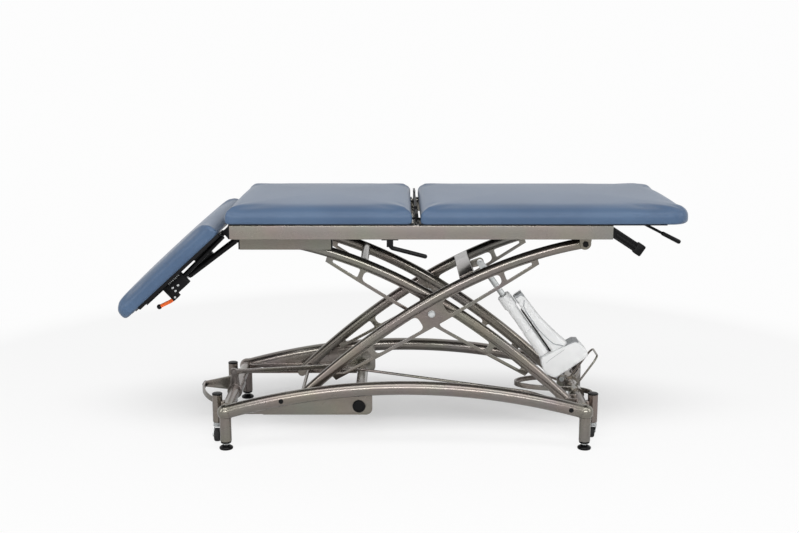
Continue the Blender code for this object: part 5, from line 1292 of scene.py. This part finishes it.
def gasSpring(label, foot, head, y, share):
    start, end = Vector((foot[0], y, foot[1])), Vector((head[0], y, head[1]))
    along = (end - start).normalized()
    length = (end - start).length
    full = length * share
    r, rod, eye, eyeHalf = spring["cylinder"], spring["rod"], spring["eye"] - 0.001, spring["eyeHalf"]
    profile = [(r - 0.002, 0.018), (r, 0.020), (r, full - 0.006), (r - 0.0012, full - 0.004),
               (r - 0.002, full), (rod + play, full)]
    parts = []
    add(parts, "blackSteel", latheMesh(profile, start, along))
    add(parts, "zinc", latheMesh([(eyeHalf * 0.9, 0.0055), (eyeHalf * 0.9, 0.022)], start, along))
    add(parts, "blackNylon", bushMesh(start.x, start.z, y, eyeHalf, spring["pin"] + play, eye))
    makePiece(label + "SpringCylinder", label + "_spring_cylinder", parts)
    parts = []
    add(parts, "zinc", latheMesh([(rod, length * (share - 0.22)), (rod, length - 0.004)], start, along))
    add(parts, "blackNylon",
        latheMesh([(eyeHalf * 0.95, length - 0.017), (eyeHalf * 0.95, length - 0.005)], start, along),
        discMesh(end.x, end.z, y - eyeHalf, y + eyeHalf, eye))
    makePiece(label + "SpringRod", label + "_spring_rod", parts)


gasSpring("leg", spring["legFoot"], spring["legHead"], 0.0, spring["legShare"])
sx, sz = qx - spring["headAt"][0], qz + spring["headAt"][1]
headEnd = headMatrix @ Vector((sx, 0, sz))
gasSpring("head", spring["headFoot"], (headEnd.x, headEnd.z), spring["headY"], spring["headShare"])

# head section, laid flat to the left of its hinge and then tilted
headFrame = {"barY": 0.262, "bar": 0.012, "slim": 0.005, "barEnd": 0.036, "neck": 0.034, "eye": 0.015,
             "bore": 0.0086, "strut": 0.0078, "strutStart": (0.046, 0.008), "strutEnd": (0.250, -0.001),
             "bracket": (0.240, 0.312), "bracketWidth": 0.024, "bracketDrop": 0.030, "step": (0.404, 0.011),
             "leverAt": (0.320, -0.034), "leverTip": (0.388, -0.022), "leverIn": 0.036,
             "bolts": ((0.276, -0.010), (0.296, -0.004), (0.296, -0.018)), "coil": (0.006, 0.0017),
             "coilAt": (0.246, 0.0170), "coilLong": 0.052, "coilSteps": 96}
barLow, slimLow = leafLow - headFrame["bar"], leafLow - headFrame["slim"]
neck, eye, barY = qx - headFrame["neck"], headFrame["eye"], headFrame["barY"]
eyeOutline = [(neck, slimLow + 0.002), (neck, qz - eye * 0.6), (qx, qz - eye)]
eyeOutline += arc(qx, qz, eye, -math.pi / 2, math.pi / 2, 14)[1:-1] + [(qx, barLow + 0.002)]
bracketStart, bracketEnd = (qx - u for u in headFrame["bracket"])
coil, wireRadius = headFrame["coil"]
parts = []
add(parts, "blackSteel", boardMesh(headLeft, headRight, pad["headCorner"], corner))
for side in (-1, 1):
    first, last = (side * barY + out * headFrame["bar"] / 2 for out in (-1, 1))
    face, bracketFace = side * barY, side * (barY - headFrame["bracketWidth"])
    strutY = side * (barY - 0.010)
    strut = [(qx - u, strutY, qz + n) for u, n in (headFrame["strutStart"], headFrame["strutEnd"])]
    add(parts, "blackSteel",
        boxMesh((headLeft + headFrame["barEnd"], first, slimLow), (neck + 0.004, last, leafLow), 0.0015),
        slabMesh(eyeOutline, first, last, 0.0008, [ringOutline(qx, qz, headFrame["bore"])]),
        boardLipAndShadeMesh(side, *(qx - u for u in boardLipAndShade["headReach"]), boardLipAndShade["headLow"]),
        tubeMesh(strut, headFrame["strut"], 20),
        boxMesh((bracketEnd, face, qz - headFrame["bracketDrop"]),
                (bracketStart, bracketFace, barLow + 0.001), 0.002),
        boxMesh((qx - headFrame["step"][0], face, qz + headFrame["step"][1]),
                (bracketEnd + 0.002, bracketFace, barLow + 0.001), 0.0015))
    coilX, coilZ = qx - headFrame["coilAt"][0], qz + headFrame["coilAt"][1]
    path = []
    for k in range(headFrame["coilSteps"] + 1):
        turn = k * math.pi / 6
        path.append((coilX - headFrame["coilLong"] * k / headFrame["coilSteps"],
                     face - side * 0.004 + coil * math.sin(turn), coilZ + coil * math.cos(turn)))
    add(parts, "zinc", tubeMesh(path, wireRadius, 8))
    for u, n in headFrame["bolts"]:
        add(parts, "zinc",
            discMesh(qx - u, qz + n, face - side * 0.001, face + side * 0.0022, 0.0045, 0.0012))
    earFace = spring["headY"] + side * (spring["eyeHalf"] + 0.003)
    add(parts, "blackSteel",
        boxMesh((sx - 0.030, earFace, sz - 0.014),
                (sx + 0.018, earFace + side * 0.004, boardLow + 0.002), 0.0015))
lx, lz = qx - headFrame["leverAt"][0], qz + headFrame["leverAt"][1]
leverY = headFrame["leverIn"] - barY
for side in (-1, 1):
    face, nutFace = leverY + side * 0.007, leverY + side * 0.011
    add(parts, "blackSteel", boxMesh((lx - 0.014, face, lz - 0.008), (lx + 0.014, nutFace, boardLow + 0.002)))
    add(parts, "zinc", hexMesh((lx, nutFace, lz), (0, side, 0), 0.008, 0.003, 0.0005))
add(parts, "zinc", discMesh(lx, lz, leverY - 0.012, leverY + 0.012, 0.003, 0.0003))
makePiece("headFrame", "head_frame", parts, headMatrix)

tip = (qx - headFrame["leverTip"][0], leverY, qz + headFrame["leverTip"][1])
path = filletPath([(lx, leverY, lz), (lx - 0.020, leverY, lz - 0.002), tip], 0.012)
parts = []
add(parts, "orangeAbs", bushMesh(lx, lz, leverY, 0.006, lever["bore"], lever["hub"], closed=False),
    sweepMesh(path, roundedRectangle(0.0054, 0.006, 0.002, 3)))
add(parts, "blackNylon", ballMesh(tip, 0.009, 28))
makePiece("headReleaseLever", "head_release_lever", parts, headMatrix)
print("sections built")

# studio: pale floor that fades into the white background, soft lamps, camera as in the photograph
studio = {"floor": 14.0, "clear": 1.7, "fade": 1.6, "veil": (0.36, 0.86), "veilReach": (0.45, 1.5),
          "shadeAt": (0.0, 0.25, 0.0), "shadeSqueeze": (1.0, 3.0, 1.0), "white": 0.98, "ambient": 0.3}
camera = {"at": (-0.020, -3.970, 1.416), "pitch": 11.70, "focalPixels": 1110.0, "imageWidth": 799}
scene = bpy.context.scene
smoothStep = {"interpolation_type": "SMOOTHSTEP"}


def vectorMath(tree, operation, source, value=None):
    inputs = {} if value is None else {1: value}
    made = addNode(tree, "ShaderNodeVectorMath", {"operation": operation}, inputs, {0: source})
    return made.outputs["Value" if operation == "LENGTH" else "Vector"]


def combine(tree, operation, a, b):
    return addNode(tree, "ShaderNodeMath", {"operation": operation}, links={0: a, 1: b}).outputs[0]


def glowNode(tree, kind, strength):
    return addNode(tree, kind, inputs={"Color": (1, 1, 1, 1), "Strength": strength}).outputs[0]


def mixShader(tree, share, a, b):
    return addNode(tree, "ShaderNodeMixShader", links={"Fac": share, 1: a, 2: b}).outputs[0]


f = studio["floor"]
floorData = bpy.data.meshes.new("studioFloor")
floorData.from_pydata([(-f, -f, 0), (f, -f, 0), (f, f, 0), (-f, f, 0)], [], [(0, 1, 2, 3)])
floorPiece = bpy.data.objects.new("studioFloor", floorData)
scene.collection.objects.link(floorPiece)
paper, tree, shader, place = freshMaterial("seamlessPaper")
shader.inputs["Base Color"].default_value = hexLinear("#fafafa")
shader.inputs["Roughness"].default_value = 0.6
fadeRange = {"From Min": studio["clear"] - studio["fade"] * 0.5,
             "From Max": studio["clear"] + studio["fade"] * 0.5}
fade = spread(tree, vectorMath(tree, "LENGTH", place), 0.0, 1.0, smoothStep, **fadeRange)
rays = addNode(tree, "ShaderNodeLightPath").outputs
far = combine(tree, "MULTIPLY", fade, combine(tree, "MAXIMUM", rays["Is Camera Ray"], rays["Is Glossy Ray"]))
# painted light: the camera sees the floor glow white, least under and behind the couch, so the shadow stays
# strongest there, as with the lamp bank in front of it
shifted = vectorMath(tree, "SUBTRACT", place, studio["shadeAt"])
squeezed = vectorMath(tree, "MULTIPLY", shifted, studio["shadeSqueeze"])
veilRange = dict(zip(("From Min", "From Max"), studio["veilReach"]))
veil = spread(tree, vectorMath(tree, "LENGTH", squeezed), *studio["veil"], smoothStep, **veilRange)
near = combine(tree, "MULTIPLY", veil, rays["Is Camera Ray"])
glow = glowNode(tree, "ShaderNodeEmission", studio["white"])
mixed = mixShader(tree, combine(tree, "MAXIMUM", far, near), shader.outputs["BSDF"], glow)
tree.links.new(mixed, tree.nodes["Material Output"].inputs["Surface"])
floorData.materials.append(paper)

world = bpy.data.worlds.new("whiteStudio")
scene.world = world
world.use_nodes = True
tree = world.node_tree
tree.nodes.clear()
rays = addNode(tree, "ShaderNodeLightPath").outputs
clear = combine(tree, "MAXIMUM", rays["Is Glossy Ray"], rays["Is Transmission Ray"])
seen = combine(tree, "MAXIMUM", rays["Is Camera Ray"], clear)
white, ambient = (glowNode(tree, "ShaderNodeBackground", studio[key]) for key in ("white", "ambient"))
addNode(tree, "ShaderNodeOutputWorld", links={"Surface": mixShader(tree, seen, ambient, white)})


def softLamp(name, at, target, size, power):
    data = bpy.data.lights.new(name, "AREA")
    data.shape = "RECTANGLE"
    data.size, data.size_y = size
    data.energy = power
    made = bpy.data.objects.new(name, data)
    made.location = at
    made.rotation_euler = (Vector(target) - Vector(at)).to_track_quat("-Z", "Y").to_euler()
    scene.collection.objects.link(made)


softLamp("topBank", (0.0, -1.4, 3.0), (0, 0, 0.4), (4.0, 0.9), 44)
softLamp("frontBank", (0.0, -3.9, 2.1), (0, 0, 0.3), (3.6, 0.6), 76)
softLamp("leftBank", (-3.2, -1.6, 1.9), (0, 0, 0.5), (0.7, 2.2), 20)
softLamp("rightBank", (3.4, -1.4, 2.0), (0, 0, 0.5), (0.7, 2.2), 26)

lens = bpy.data.cameras.new("photoCamera")
lens.sensor_width = 36.0
lens.sensor_fit = "HORIZONTAL"
lens.lens = camera["focalPixels"] / camera["imageWidth"] * lens.sensor_width
eyeObject = bpy.data.objects.new("photoCamera", lens)
eyeObject.location = camera["at"]
eyeObject.rotation_euler = (math.radians(90.0 - camera["pitch"]), 0, 0)
scene.collection.objects.link(eyeObject)
scene.camera = eyeObject
scene.view_settings.view_transform = "Standard"

print("couch dressed")
